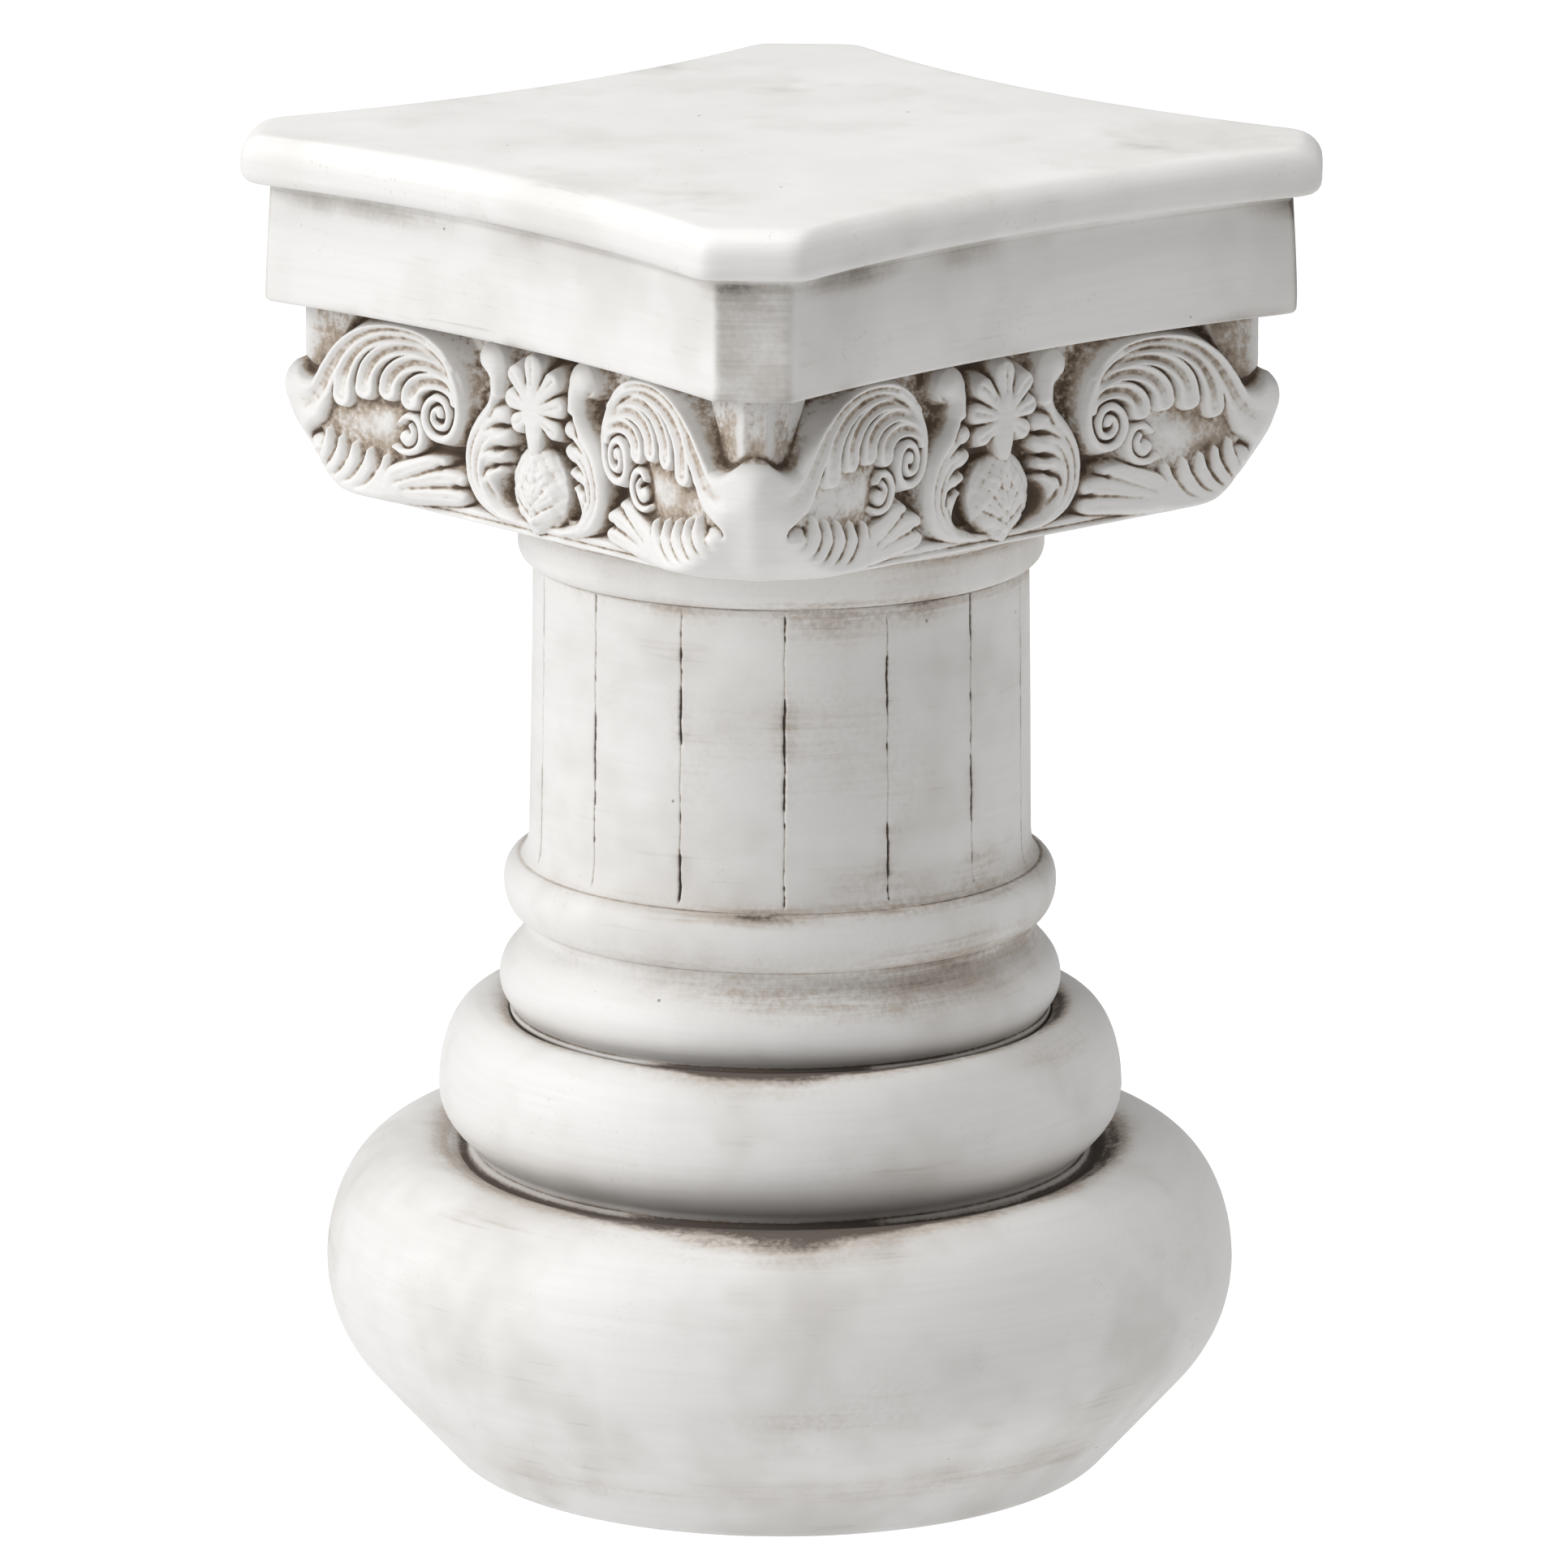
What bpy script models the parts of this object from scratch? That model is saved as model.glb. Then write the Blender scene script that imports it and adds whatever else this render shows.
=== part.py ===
"""Cast roman column: round base, incised shaft, carved capital and flat slab, all in one piece.

Metres, +Z up, standing on Z = 0 with its axis on Z. The slab's sides face X and Y.
"""
import bpy
import bmesh
from math import cos, pi, radians, sin, sqrt, tan
from mathutils import Matrix, Vector

# Base: from the floor to its widest line, up to its crown, and down into the crease under the torus
BASE_BELLY = 0.0696
BASE_CROWN = 0.0420
BASE_DIP = 0.0052
BASE_STEP = 0.0157
BASE_SHOULDER = 0.0283
BELLY_ROUND = 0.0497
BELLY_SLOPE = 42
FOOT_ROUND = 0.0140

# Torus, with the same stations
TORUS_BELLY = 0.0240
TORUS_CROWN = 0.0290
TORUS_DIP = 0.0033
TORUS_STEP = 0.0083
TORUS_SHOULDER = 0.0141
TORUS_TUCK = 50

# Lip, scotia and ring between the torus and the shaft
LIP_HEIGHT = 0.0130
LIP_FILLET = 0.0014
LIP_ROUND = 0.0026
SCOTIA_HEIGHT = 0.0196
SCOTIA_CURVE = 0.0116
SCOTIA_HOLLOW = 0.0065
RING_LOWER = 0.0142
RING_UPPER = 0.0077
RING_SWELL = 0.0052
RING_TUCK = 0.0022

# Shaft and neck
SHAFT_TOP_RADIUS = 0.0841
SHAFT_TAPER = 0.0014
SHAFT_HEIGHT = 0.1039
FLARE_HEIGHT = 0.0095
FLARE_OUT = 0.0035
NECK_HEIGHT = 0.0212
NECK_SWELL = 0.0051
NECK_ROUND = 0.0060
TURNED_SIDES = 45

# Incised upright lines on the shaft
LINE_COUNT = 15
LINE_DEPTH = 0.0010
LINE_WIDTH = 0.0009
LINE_START = 48.9
LINE_TOP_MARGIN = 0.0040
LINE_FOOT_MARGIN = 0.0030

# Slab: a corner is measured along the diagonal to its cut face, a cut is half that face's width
FASCIA_HEIGHT = 0.0409
FASCIA_CORNER = 0.1735
FASCIA_CUT = 0.0125
FASCIA_HOLLOW = 0.0100
FASCIA_FLARE = 0.0018
FASCIA_EDGE = 0.0020
RIM_HEIGHT = 0.0166
RIM_OVERHANG = 0.0080
RIM_CUT = 0.0168
RIM_HOLLOW = 0.0133
RIM_TOP_ROUND = 0.0078
RIM_FOOT_ROUND = 0.0032

# Capital: bell with hollow faces, and the block of the horns that rounds under to the neck
CAPITAL_HEIGHT = 0.0668
CAPITAL_LAP = 0.0040
BELL_SWELL = 0.0118
BELL_SETBACK = 0.0125
BELL_CUT = 0.0036
BELL_BEND = 2.5
HORN_HEIGHT = 0.0350
HORN_OUT = 0.0062
HORN_CUT = 0.0070
UNDERSIDE_SWELL = 0.0190
UNDERSIDE_CORNER = 0.0275
UNDERSIDE_CUT = 0.0200
RELIEF = 0.0100
SCROLL_RECESS = 0.0045
SWELL_START = 0.18
SWELL_END = 0.88

# Carving of half a face, in hundredths of the capital's height: along the face, up, and a radius
HALF_FACE = 170.0
VOLUTE_EYE = (66.6, 51.6)
VOLUTE_RADIUS = 13.0
VOLUTE_RIBBON = 3.8
VOLUTE_START = 120
VOLUTE_TURNS = 1.35
VOLUTE_CLOSING = 0.78
SCROLL_ROOT = 56.1
SCROLL_TOPS = (70.0, 81.0, 87.0, 90.5)
FINGER_ENDS = ((85.3, 53.0), (98.5, 56.0), (113.0, 55.5), (128.0, 50.0))
FINGER_RADIUS = 6.3
BAND = ((89.8, 88.5, 5.2), (116.8, 87.0, 6.0), (139.2, 75.5, 6.6), (152.0, 58.0, 7.0),
        (163.0, 54.0, 7.0), (168.0, 59.0, 4.5), (171.0, 64.0, 2.5))
SCROLL_GROUND = ((66.6, 51.6, 16.5), (89.8, 62.9, 22.5), (116.8, 62.9, 22.5), (139.2, 49.4, 18.0))
CURL_EYE = (87.6, 40.4)
CURL_RADIUS = 6.6
CURL_RIBBON = 2.3
CURL_START = -150
KNOB = (35.2, 86.1, 9.0)
LEAF_STEM = ((18.0, 9.0, 6.0), (36.0, 12.0, 7.5), (46.4, 30.0, 7.5), (42.0, 51.0, 7.5),
             (30.7, 67.4, 6.0), (30.7, 79.4, 6.0))
LEAF_LOBES = ((22.5, 62.1), (21.7, 50.2), (25.5, 39.7), (28.4, 30.7))
LOBE_ROOT = (15.0, -13.5)
LOBE_KNEE = (9.0, -1.5)
LOBE_RADIUS = 4.5
PALM_FOOT = 49.4
PALM_LOBES = ((90, 41.2), (57, 33.7), (34, 26.2), (8, 18.7))
PALM_RADIUS = 6.3
BUD_CENTRE = 27.0
BUD_RADIUS = 20.7
BUD_HALF_HEIGHT = 24.7
BUD_ROUNDNESS = 0.6
FLAME_COUNT = 4
FLAME_FIRST = (101.0, 27.7)
FLAME_LAST = (132.5, 34.4)
FLAME_FOOT = (10.5, -14.2)
FLAME_RADIUS = 4.5
LOW_SPINE = ((161.7, 33.0, 9.0), (142.0, 16.5, 8.2), (116.8, 11.2, 6.7), (89.8, 12.0, 6.0), (71.9, 15.0, 5.2))
LOW_TIPS = ((68.1, 28.4), (56.1, 20.2), (55.4, 10.5))
LOW_FORK = (89.8, 13.5)

CARVING_VOXEL = 0.0014
CARVING_TRIANGLES = 4700

BASE_TOP = BASE_BELLY + BASE_CROWN - BASE_DIP
TORUS_MIDDLE = BASE_TOP + TORUS_BELLY
TORUS_TOP = TORUS_MIDDLE + TORUS_CROWN - TORUS_DIP
LIP_LEVEL = TORUS_TOP + LIP_HEIGHT
SCOTIA_TOP = LIP_LEVEL + SCOTIA_HEIGHT
RING_MIDDLE = SCOTIA_TOP + RING_LOWER
RING_TOP = RING_MIDDLE + RING_UPPER
SHAFT_TOP = RING_TOP + SHAFT_HEIGHT
CAPITAL_FOOT = SHAFT_TOP + NECK_HEIGHT
SOFFIT = CAPITAL_FOOT + CAPITAL_HEIGHT
FASCIA_TOP = SOFFIT + FASCIA_HEIGHT
TOTAL_HEIGHT = FASCIA_TOP + RIM_HEIGHT

NECK_RADIUS = SHAFT_TOP_RADIUS + NECK_SWELL
SHAFT_FOOT_RADIUS = SHAFT_TOP_RADIUS + SHAFT_TAPER
RING_CREASE_RADIUS = SHAFT_FOOT_RADIUS + FLARE_OUT
SCOTIA_RADIUS = RING_CREASE_RADIUS - RING_TUCK
LIP_RADIUS = SCOTIA_RADIUS + SCOTIA_HOLLOW + LIP_ROUND
LIP_CREASE_RADIUS = LIP_RADIUS - LIP_FILLET
TORUS_CROWN_RADIUS = LIP_CREASE_RADIUS + TORUS_STEP
TORUS_CREASE_RADIUS = TORUS_CROWN_RADIUS + TORUS_SHOULDER * cos(radians(TORUS_TUCK))
BASE_CROWN_RADIUS = TORUS_CREASE_RADIUS + BASE_STEP
BASE_RADIUS = BASE_CROWN_RADIUS + BASE_SHOULDER

BELL_DEPTH = NECK_RADIUS + BELL_SWELL
BELL_CORNER = FASCIA_CORNER - BELL_SETBACK
HORN_CORNER = BELL_CORNER + HORN_OUT
HORN_SIDE = (HORN_CORNER - HORN_CUT) / sqrt(2)
HORN_DEPTH = (HORN_CORNER + HORN_CUT) / sqrt(2)
FACE_DEPTH = BELL_DEPTH + RELIEF
CARVING_UNIT = CAPITAL_HEIGHT / 100


def arc(centre, half_width, half_height, start, end, steps):
    """Points on an ellipse in the profile's plane, angles in degrees from +X."""
    points = []
    for step in range(steps + 1):
        angle = radians(start + (end - start) * step / steps)
        points.append((centre[0] + half_width * cos(angle), centre[1] + half_height * sin(angle)))
    return points


def turned_profile():
    """Outer line of the turned body, from inside the capital down to the floor."""
    line = [(0.0, CAPITAL_FOOT + CAPITAL_LAP), (NECK_RADIUS, CAPITAL_FOOT + CAPITAL_LAP)]
    line += arc((SHAFT_TOP_RADIUS, SHAFT_TOP + NECK_ROUND), NECK_SWELL, NECK_ROUND, 0, -90, 3)
    line += arc((RING_CREASE_RADIUS, RING_TOP + FLARE_HEIGHT), FLARE_OUT, FLARE_HEIGHT, 180, 265, 2)
    line += arc((RING_CREASE_RADIUS, RING_MIDDLE), RING_SWELL, RING_UPPER, 70, 0, 2)
    line += arc((SCOTIA_RADIUS, RING_MIDDLE), RING_TUCK + RING_SWELL, RING_LOWER, -30, -90, 2)
    line += arc((SCOTIA_RADIUS + SCOTIA_HOLLOW, SCOTIA_TOP), SCOTIA_HOLLOW, SCOTIA_CURVE, 210, 262, 2)
    lip_rise = SCOTIA_HEIGHT - SCOTIA_CURVE
    line += arc((LIP_RADIUS - LIP_ROUND, LIP_LEVEL), LIP_ROUND, lip_rise, 60, 0, 2)
    line.append((LIP_CREASE_RADIUS, TORUS_TOP))
    line += arc((TORUS_CROWN_RADIUS, TORUS_MIDDLE), TORUS_SHOULDER, TORUS_CROWN, 90, 0, 5)
    tuck_height = TORUS_BELLY / sin(radians(TORUS_TUCK))
    line += arc((TORUS_CROWN_RADIUS, TORUS_MIDDLE), TORUS_SHOULDER, tuck_height, -25, -TORUS_TUCK, 1)
    line += arc((BASE_CROWN_RADIUS, BASE_BELLY), BASE_SHOULDER, BASE_CROWN, 90, 0, 6)
    return line + base_underside()


def base_underside():
    """Round belly below the widest line, a straight slope, and the rounded edge of the foot."""
    slope = radians(BELLY_SLOPE)
    line = arc((BASE_RADIUS - BELLY_ROUND, BASE_BELLY), BELLY_ROUND, BELLY_ROUND,
               -BELLY_SLOPE / 3, -BELLY_SLOPE, 2)
    meeting = line[-1][0] - line[-1][1] * tan(slope)
    centre = meeting - FOOT_ROUND * tan((pi / 2 - slope) / 2)
    line += arc((centre, FOOT_ROUND), FOOT_ROUND, FOOT_ROUND, -BELLY_SLOPE, -90, 2)
    line.append((0.0, 0.0))
    return line


def new_object(name, mesh, collection):
    obj = bpy.data.objects.new(name, mesh)
    collection.objects.link(obj)
    return obj


def mesh_from(bm, name):
    mesh = bpy.data.meshes.new(name)
    bm.to_mesh(mesh)
    bm.free()
    return mesh


def turned_body(collection):
    """Turn the outer line about Z."""
    points = turned_profile()
    mesh = bpy.data.meshes.new("turned_body")
    edges = [(i, i + 1) for i in range(len(points) - 1)]
    mesh.from_pydata([(r, 0.0, z) for r, z in points], edges, [])
    body = new_object("roman_column", mesh, collection)
    turn = body.modifiers.new("turn", "SCREW")
    turn.steps = TURNED_SIDES
    turn.render_steps = TURNED_SIDES
    turn.use_merge_vertices = True
    turn.merge_threshold = 0.0001
    return body


def square_outline(corner, cut, middle, bend, steps):
    """Hollow-sided square with cut corners, as (x, y) points."""
    end_u = (corner - cut) / sqrt(2)
    end_d = (corner + cut) / sqrt(2)
    side = []
    for step in range(-steps, steps + 1):
        share = step / steps
        side.append((end_u * share, -(middle + (end_d - middle) * abs(share) ** bend)))
    points = []
    for quarter in range(4):
        turn = Matrix.Rotation(quarter * pi / 2, 2)
        points += [turn @ Vector(point) for point in side]
    return points


def loft(name, sections, collection):
    """Closed body through outlines of equal length, from the lowest to the highest."""
    bm = bmesh.new()
    rings = [[bm.verts.new((x, y, z)) for x, y in outline] for z, outline in sections]
    for low, high in zip(rings, rings[1:]):
        for i, j in zip(range(len(low)), [*range(1, len(low)), 0]):
            bm.faces.new((low[i], low[j], high[j], high[i]))
    bm.faces.new(list(reversed(rings[0])))
    bm.faces.new(rings[-1])
    return new_object(name, mesh_from(bm, name), collection)


def slab_section(height, inset, corner, cut, hollow):
    """Outline of the slab, moved in all round by the inset."""
    middle = (corner + cut) / sqrt(2) - hollow
    return height, square_outline(corner - inset, cut, middle - inset, 2, 5)


def slab(collection):
    """Fascia and thick rounded rim, with hollow sides and cut corners."""
    fascia = (FASCIA_CORNER, FASCIA_CUT, FASCIA_HOLLOW)
    rim = (FASCIA_CORNER + RIM_OVERHANG, RIM_CUT, RIM_HOLLOW)
    sections = [slab_section(SOFFIT, FASCIA_EDGE, *fascia),
                slab_section(SOFFIT + FASCIA_EDGE, 0.0, *fascia),
                slab_section(FASCIA_TOP, FASCIA_FLARE, *fascia)]
    for angle in (-85, -45, 0):
        turn = radians(angle)
        height = FASCIA_TOP + RIM_FOOT_ROUND * (1 + sin(turn))
        sections.append(slab_section(height, RIM_FOOT_ROUND * (1 - cos(turn)), *rim))
    for angle in (0, 35, 65, 90):
        turn = radians(angle)
        height = TOTAL_HEIGHT - RIM_TOP_ROUND * (1 - sin(turn))
        sections.append(slab_section(height, RIM_TOP_ROUND * (1 - cos(turn)), *rim))
    return loft("slab", sections, collection)


def core_section(height, corner, cut, middle):
    return CAPITAL_FOOT + height, square_outline(corner, cut, middle, BELL_BEND, 6)


def capital_core(collection):
    """Bell with hollow faces over the block of the horns, which rounds under to the neck."""
    foot_middle = NECK_RADIUS + UNDERSIDE_SWELL
    foot_corner = HORN_CORNER - UNDERSIDE_CORNER
    sections = []
    for share in (0.0, 0.08, 0.4, 0.7, 1.0):
        swell = sin(share * pi / 2) ** 0.5
        corner = foot_corner + (HORN_CORNER - foot_corner) * swell
        cut = UNDERSIDE_CUT + (HORN_CUT - UNDERSIDE_CUT) * swell
        middle = foot_middle + (BELL_DEPTH - foot_middle) * share
        sections.append(core_section(HORN_HEIGHT * share, corner, cut, middle))
    sections.append(core_section(HORN_HEIGHT + FASCIA_EDGE, BELL_CORNER, BELL_CUT, BELL_DEPTH))
    sections.append(core_section(CAPITAL_HEIGHT + CAPITAL_LAP, BELL_CORNER, BELL_CUT, BELL_DEPTH))
    return loft("capital", sections, collection)


def face_depth(share):
    """Distance of the carved front from the axis, at a share of the way from the middle to a horn."""
    along = min(max((share - SWELL_START) / (SWELL_END - SWELL_START), 0.0), 1.0)
    return FACE_DEPTH + (HORN_DEPTH - FACE_DEPTH) * along * along * (3 - 2 * along)


def on_face(point, recess=0.0):
    """Centre of a form whose front touches the carved face, and its radius."""
    across, height, radius = point
    share = across / HALF_FACE
    radius *= CARVING_UNIT
    depth = face_depth(share) - radius - recess
    return Vector((share * HORN_SIDE, -depth, CAPITAL_FOOT + height * CARVING_UNIT)), radius


def run_back(made, start, end):
    """Carry a form's back in to the bell, because the cast relief has no undercut."""
    span = end - start
    for vert in made["verts"]:
        share = (vert.co - start).dot(span) / max(span.length_squared, 1e-12)
        axis = start.y + min(max(share, 0.0), 1.0) * span.y
        if vert.co.y > axis:
            vert.co.y += RELIEF


def add_chain(bm, points, recess=0.0):
    """Tapered round ridge through the points."""
    placed = [on_face(point, recess) for point in points]
    for (start, start_radius), (end, end_radius) in zip(placed, placed[1:]):
        spin = (end - start).to_track_quat("Z", "Y").to_matrix().to_4x4()
        place = Matrix.Translation((start + end) / 2) @ spin
        run_back(bmesh.ops.create_cone(bm, cap_ends=True, segments=12, radius1=start_radius,
                                       radius2=end_radius, depth=(end - start).length,
                                       matrix=place), start, end)
    for middle, radius in placed:
        place = Matrix.Translation(middle)
        run_back(bmesh.ops.create_icosphere(bm, subdivisions=2, radius=radius, matrix=place), middle, middle)


def smooth_curve(nodes, steps):
    """Points on a Catmull-Rom curve through the nodes."""
    padded = [nodes[0], *nodes, nodes[-1]]
    points = []
    for before, start, end, after in zip(padded, padded[1:], padded[2:], padded[3:]):
        for step in range(steps):
            t = step / steps
            points.append(tuple(
                0.5 * (2 * q + (r - p) * t + (2 * p - 5 * q + 4 * r - s) * t ** 2 + (3 * q - p - 3 * r + s) * t ** 3)
                for p, q, r, s in zip(before, start, end, after)))
    return points + [nodes[-1]]


def spiral(eye, radius, ribbon, start, turns):
    """Ribbon that winds in to its eye, from an angle in degrees."""
    steps = int(turns * 12)
    points = []
    for step in range(steps + 1):
        share = step / steps
        angle = radians(start) + share * turns * 2 * pi
        reach = radius * (1 - VOLUTE_CLOSING * share)
        points.append((eye[0] + reach * cos(angle), eye[1] + reach * sin(angle), ribbon))
    return points


def finger(end, top):
    """One ridge of the scroll, from beside the volute over the top and down to its hanging end."""
    half = (end[0] - SCROLL_ROOT) / 2
    points = []
    for step in range(9):
        angle = pi * (1 - step / 8)
        points.append((SCROLL_ROOT + half * (1 + cos(angle)), end[1] + (top - end[1]) * sin(angle),
                       FINGER_RADIUS * (0.75 + 0.25 * step / 8)))
    return points


def shifted(point, offset, radius):
    return point[0] + offset[0], point[1] + offset[1], radius


def add_scroll(bm):
    """Ground under the scroll, its volute and hanging fingers, the band to the horn, and the small curl."""
    add_chain(bm, SCROLL_GROUND, SCROLL_RECESS)
    add_chain(bm, spiral(VOLUTE_EYE, VOLUTE_RADIUS, VOLUTE_RIBBON, VOLUTE_START, VOLUTE_TURNS))
    for end, top in zip(FINGER_ENDS, SCROLL_TOPS):
        add_chain(bm, finger(end, top))
    add_chain(bm, smooth_curve(BAND, 2))
    add_chain(bm, spiral(CURL_EYE, CURL_RADIUS, CURL_RIBBON, CURL_START, 1.0))


def add_tall_leaf(bm):
    """Leaf beside the middle: a knob, a smooth outer stem, and lobes towards the middle."""
    add_chain(bm, smooth_curve(LEAF_STEM, 3))
    add_chain(bm, [KNOB])
    for tip in LEAF_LOBES:
        root = shifted(tip, LOBE_ROOT, LOBE_RADIUS)
        knee = shifted(tip, LOBE_KNEE, LOBE_RADIUS)
        add_chain(bm, smooth_curve((root, knee, (tip[0], tip[1], LOBE_RADIUS * 0.8)), 3))


def add_palmette(bm):
    """Half of the middle leaf and the bud below it."""
    for angle, length in PALM_LOBES:
        turn = radians(angle)
        reach = length - PALM_RADIUS
        add_chain(bm, [(0.0, PALM_FOOT, PALM_RADIUS * 0.7),
                       (0.5 * reach * cos(turn), PALM_FOOT + 0.5 * reach * sin(turn), PALM_RADIUS * 0.85),
                       (reach * cos(turn), PALM_FOOT + reach * sin(turn), PALM_RADIUS)])
    centre, depth = on_face((0.0, BUD_CENTRE, BUD_RADIUS * BUD_ROUNDNESS))
    squash = Matrix.Diagonal((BUD_RADIUS * CARVING_UNIT, depth, BUD_HALF_HEIGHT * CARVING_UNIT, 1.0))
    place = Matrix.Translation(centre) @ squash
    run_back(bmesh.ops.create_icosphere(bm, subdivisions=3, radius=1.0, matrix=place), centre, centre)


def add_low_leaf(bm):
    """Leaf along the foot of the face: a spine from the horn, upright flames and a lobed tip."""
    add_chain(bm, smooth_curve(LOW_SPINE, 3))
    for number in range(FLAME_COUNT):
        share = number / (FLAME_COUNT - 1)
        tip = [first + (last - first) * share for first, last in zip(FLAME_FIRST, FLAME_LAST)]
        foot = shifted(tip, FLAME_FOOT, FLAME_RADIUS)
        knee = shifted(tip, [offset * 0.45 for offset in FLAME_FOOT], FLAME_RADIUS)
        add_chain(bm, smooth_curve((foot, knee, (tip[0], tip[1], FLAME_RADIUS * 0.5)), 2))
    for tip in LOW_TIPS:
        knee = [(a + b) / 2 for a, b in zip(tip, LOW_FORK)]
        add_chain(bm, [(*LOW_FORK, FLAME_RADIUS), (*knee, FLAME_RADIUS), (*tip, FLAME_RADIUS * 0.6)])


def half_face():
    """Carving to the right of the middle of the face towards -Y."""
    bm = bmesh.new()
    add_scroll(bm)
    add_tall_leaf(bm)
    add_palmette(bm)
    add_low_leaf(bm)
    return mesh_from(bm, "half_face")


def capital(collection):
    """Core and carving of the four faces, fused into one body and thinned."""
    core = capital_core(collection)
    carving = half_face()
    bm = bmesh.new()
    bm.from_mesh(core.data)
    for quarter in range(4):
        for side in (1, -1):
            known = set(bm.verts)
            bm.from_mesh(carving)
            fresh = [vert for vert in bm.verts if vert not in known]
            turn = Matrix.Rotation(quarter * pi / 2, 4, "Z") @ Matrix.Diagonal((side, 1, 1, 1))
            bmesh.ops.transform(bm, matrix=turn, verts=fresh)
            if side < 0:
                bmesh.ops.reverse_faces(bm, faces=list({face for vert in fresh for face in vert.link_faces}))
    bm.to_mesh(core.data)
    bm.free()
    fuse = core.modifiers.new("fuse", "REMESH")
    fuse.mode = "VOXEL"
    fuse.voxel_size = CARVING_VOXEL
    fused = core.evaluated_get(bpy.context.evaluated_depsgraph_get()).data
    thin = core.modifiers.new("thin", "DECIMATE")
    thin.ratio = CARVING_TRIANGLES / (2 * len(fused.polygons))
    return core


def line_cutters(collection):
    """Thin upright blades that follow the shaft's taper and leave its incised lines."""
    top = SHAFT_TOP - LINE_TOP_MARGIN
    foot = RING_TOP + FLARE_HEIGHT - LINE_FOOT_MARGIN
    bm = bmesh.new()
    for number in range(LINE_COUNT):
        blade = bmesh.ops.create_cube(bm, size=1.0)["verts"]
        for vert in blade:
            wall = SHAFT_TOP_RADIUS if vert.co.z > 0 else SHAFT_FOOT_RADIUS
            reach = wall - LINE_DEPTH if vert.co.x < 0 else wall + FLARE_OUT
            vert.co = Vector((reach, vert.co.y * LINE_WIDTH, top if vert.co.z > 0 else foot))
        angle = radians(LINE_START - 90 + number * 360 / LINE_COUNT)
        bmesh.ops.rotate(bm, verts=blade, cent=(0, 0, 0), matrix=Matrix.Rotation(angle, 3, "Z"))
    return new_object("line_cutters", mesh_from(bm, "line_cutters"), collection)


def painted_cast():
    """Off-white brushed paint of the casting."""
    material = bpy.data.materials.new("antiqued_white_cast")
    material.use_nodes = True
    shader = material.node_tree.nodes["Principled BSDF"]
    shader.inputs["Base Color"].default_value = (0.80, 0.79, 0.77, 1.0)
    shader.inputs["Roughness"].default_value = 0.55
    shader.inputs["Metallic"].default_value = 0.0
    return material


def combine(body, tool, operation):
    """Join or cut with a hidden helper."""
    step = body.modifiers.new(tool.name, "BOOLEAN")
    step.operation = operation
    step.solver = "EXACT"
    step.object = tool
    tool.hide_render = True
    tool.display_type = "WIRE"


def main():
    for obj in list(bpy.data.objects):
        bpy.data.objects.remove(obj, do_unlink=True)
    parts = bpy.data.collections.new("roman_column")
    cutters = bpy.data.collections.new("cutters")
    for collection in (parts, cutters):
        bpy.context.scene.collection.children.link(collection)
    body = turned_body(parts)
    body.data.materials.append(painted_cast())
    combine(body, line_cutters(cutters), "DIFFERENCE")
    combine(body, capital(cutters), "UNION")
    combine(body, slab(cutters), "UNION")


main()
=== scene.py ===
import math
import bmesh
import bpy
import numpy as np
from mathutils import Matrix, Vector


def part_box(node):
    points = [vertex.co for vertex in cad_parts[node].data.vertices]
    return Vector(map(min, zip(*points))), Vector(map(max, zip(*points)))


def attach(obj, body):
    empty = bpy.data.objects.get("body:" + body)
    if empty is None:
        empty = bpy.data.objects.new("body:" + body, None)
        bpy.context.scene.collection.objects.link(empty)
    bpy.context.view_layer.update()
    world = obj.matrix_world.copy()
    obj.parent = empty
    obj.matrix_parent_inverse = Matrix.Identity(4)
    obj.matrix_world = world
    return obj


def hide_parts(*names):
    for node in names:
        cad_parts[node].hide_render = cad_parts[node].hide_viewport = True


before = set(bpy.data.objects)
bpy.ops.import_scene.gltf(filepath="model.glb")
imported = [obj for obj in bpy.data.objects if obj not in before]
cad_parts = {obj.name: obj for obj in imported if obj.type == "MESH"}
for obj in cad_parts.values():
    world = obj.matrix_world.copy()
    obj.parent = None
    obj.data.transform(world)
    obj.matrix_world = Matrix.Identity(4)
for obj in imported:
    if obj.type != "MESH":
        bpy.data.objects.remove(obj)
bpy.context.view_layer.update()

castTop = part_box("roman_column")[1].z
print("frame loaded, column", round(castTop, 3), "m high")


def softStep(x, low, high):
    t = np.clip((x - low) / (high - low), 0.0, 1.0)
    return t * t * (3 - 2 * t)


def mound(away, reach, power=2):
    # one at the middle, falling softly to nothing beyond the reach
    return np.exp(-(away / reach) ** power)


def softMax(a, b, k):
    blend = np.clip(k - np.abs(a - b), 0.0, None) / k
    return np.maximum(a, b) + blend * blend * k / 4


def softMin(a, b, k):
    return -softMax(-a, -b, k)


def smoothLine(nodes, steps):
    # Catmull-Rom through the nodes
    nodes = np.array(nodes, float)
    padded = np.vstack([2 * nodes[0] - nodes[1], nodes, 2 * nodes[-1] - nodes[-2]])
    line = []
    for p, q, r, s in zip(padded, padded[1:], padded[2:], padded[3:]):
        for t in np.arange(steps) / steps:
            line.append(0.5 * (2 * q + (r - p) * t + (2 * p - 5 * q + 4 * r - s) * t ** 2
                               + (3 * q - p - 3 * r + s) * t ** 3))
    line.append(nodes[-1])
    return np.array(line)


def arc(centre, halfWidth, halfHeight, start, end, steps):
    turn = np.radians(np.linspace(start, end, steps + 1))
    return np.column_stack([centre[0] + halfWidth * np.cos(turn), centre[1] + halfHeight * np.sin(turn)])


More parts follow.
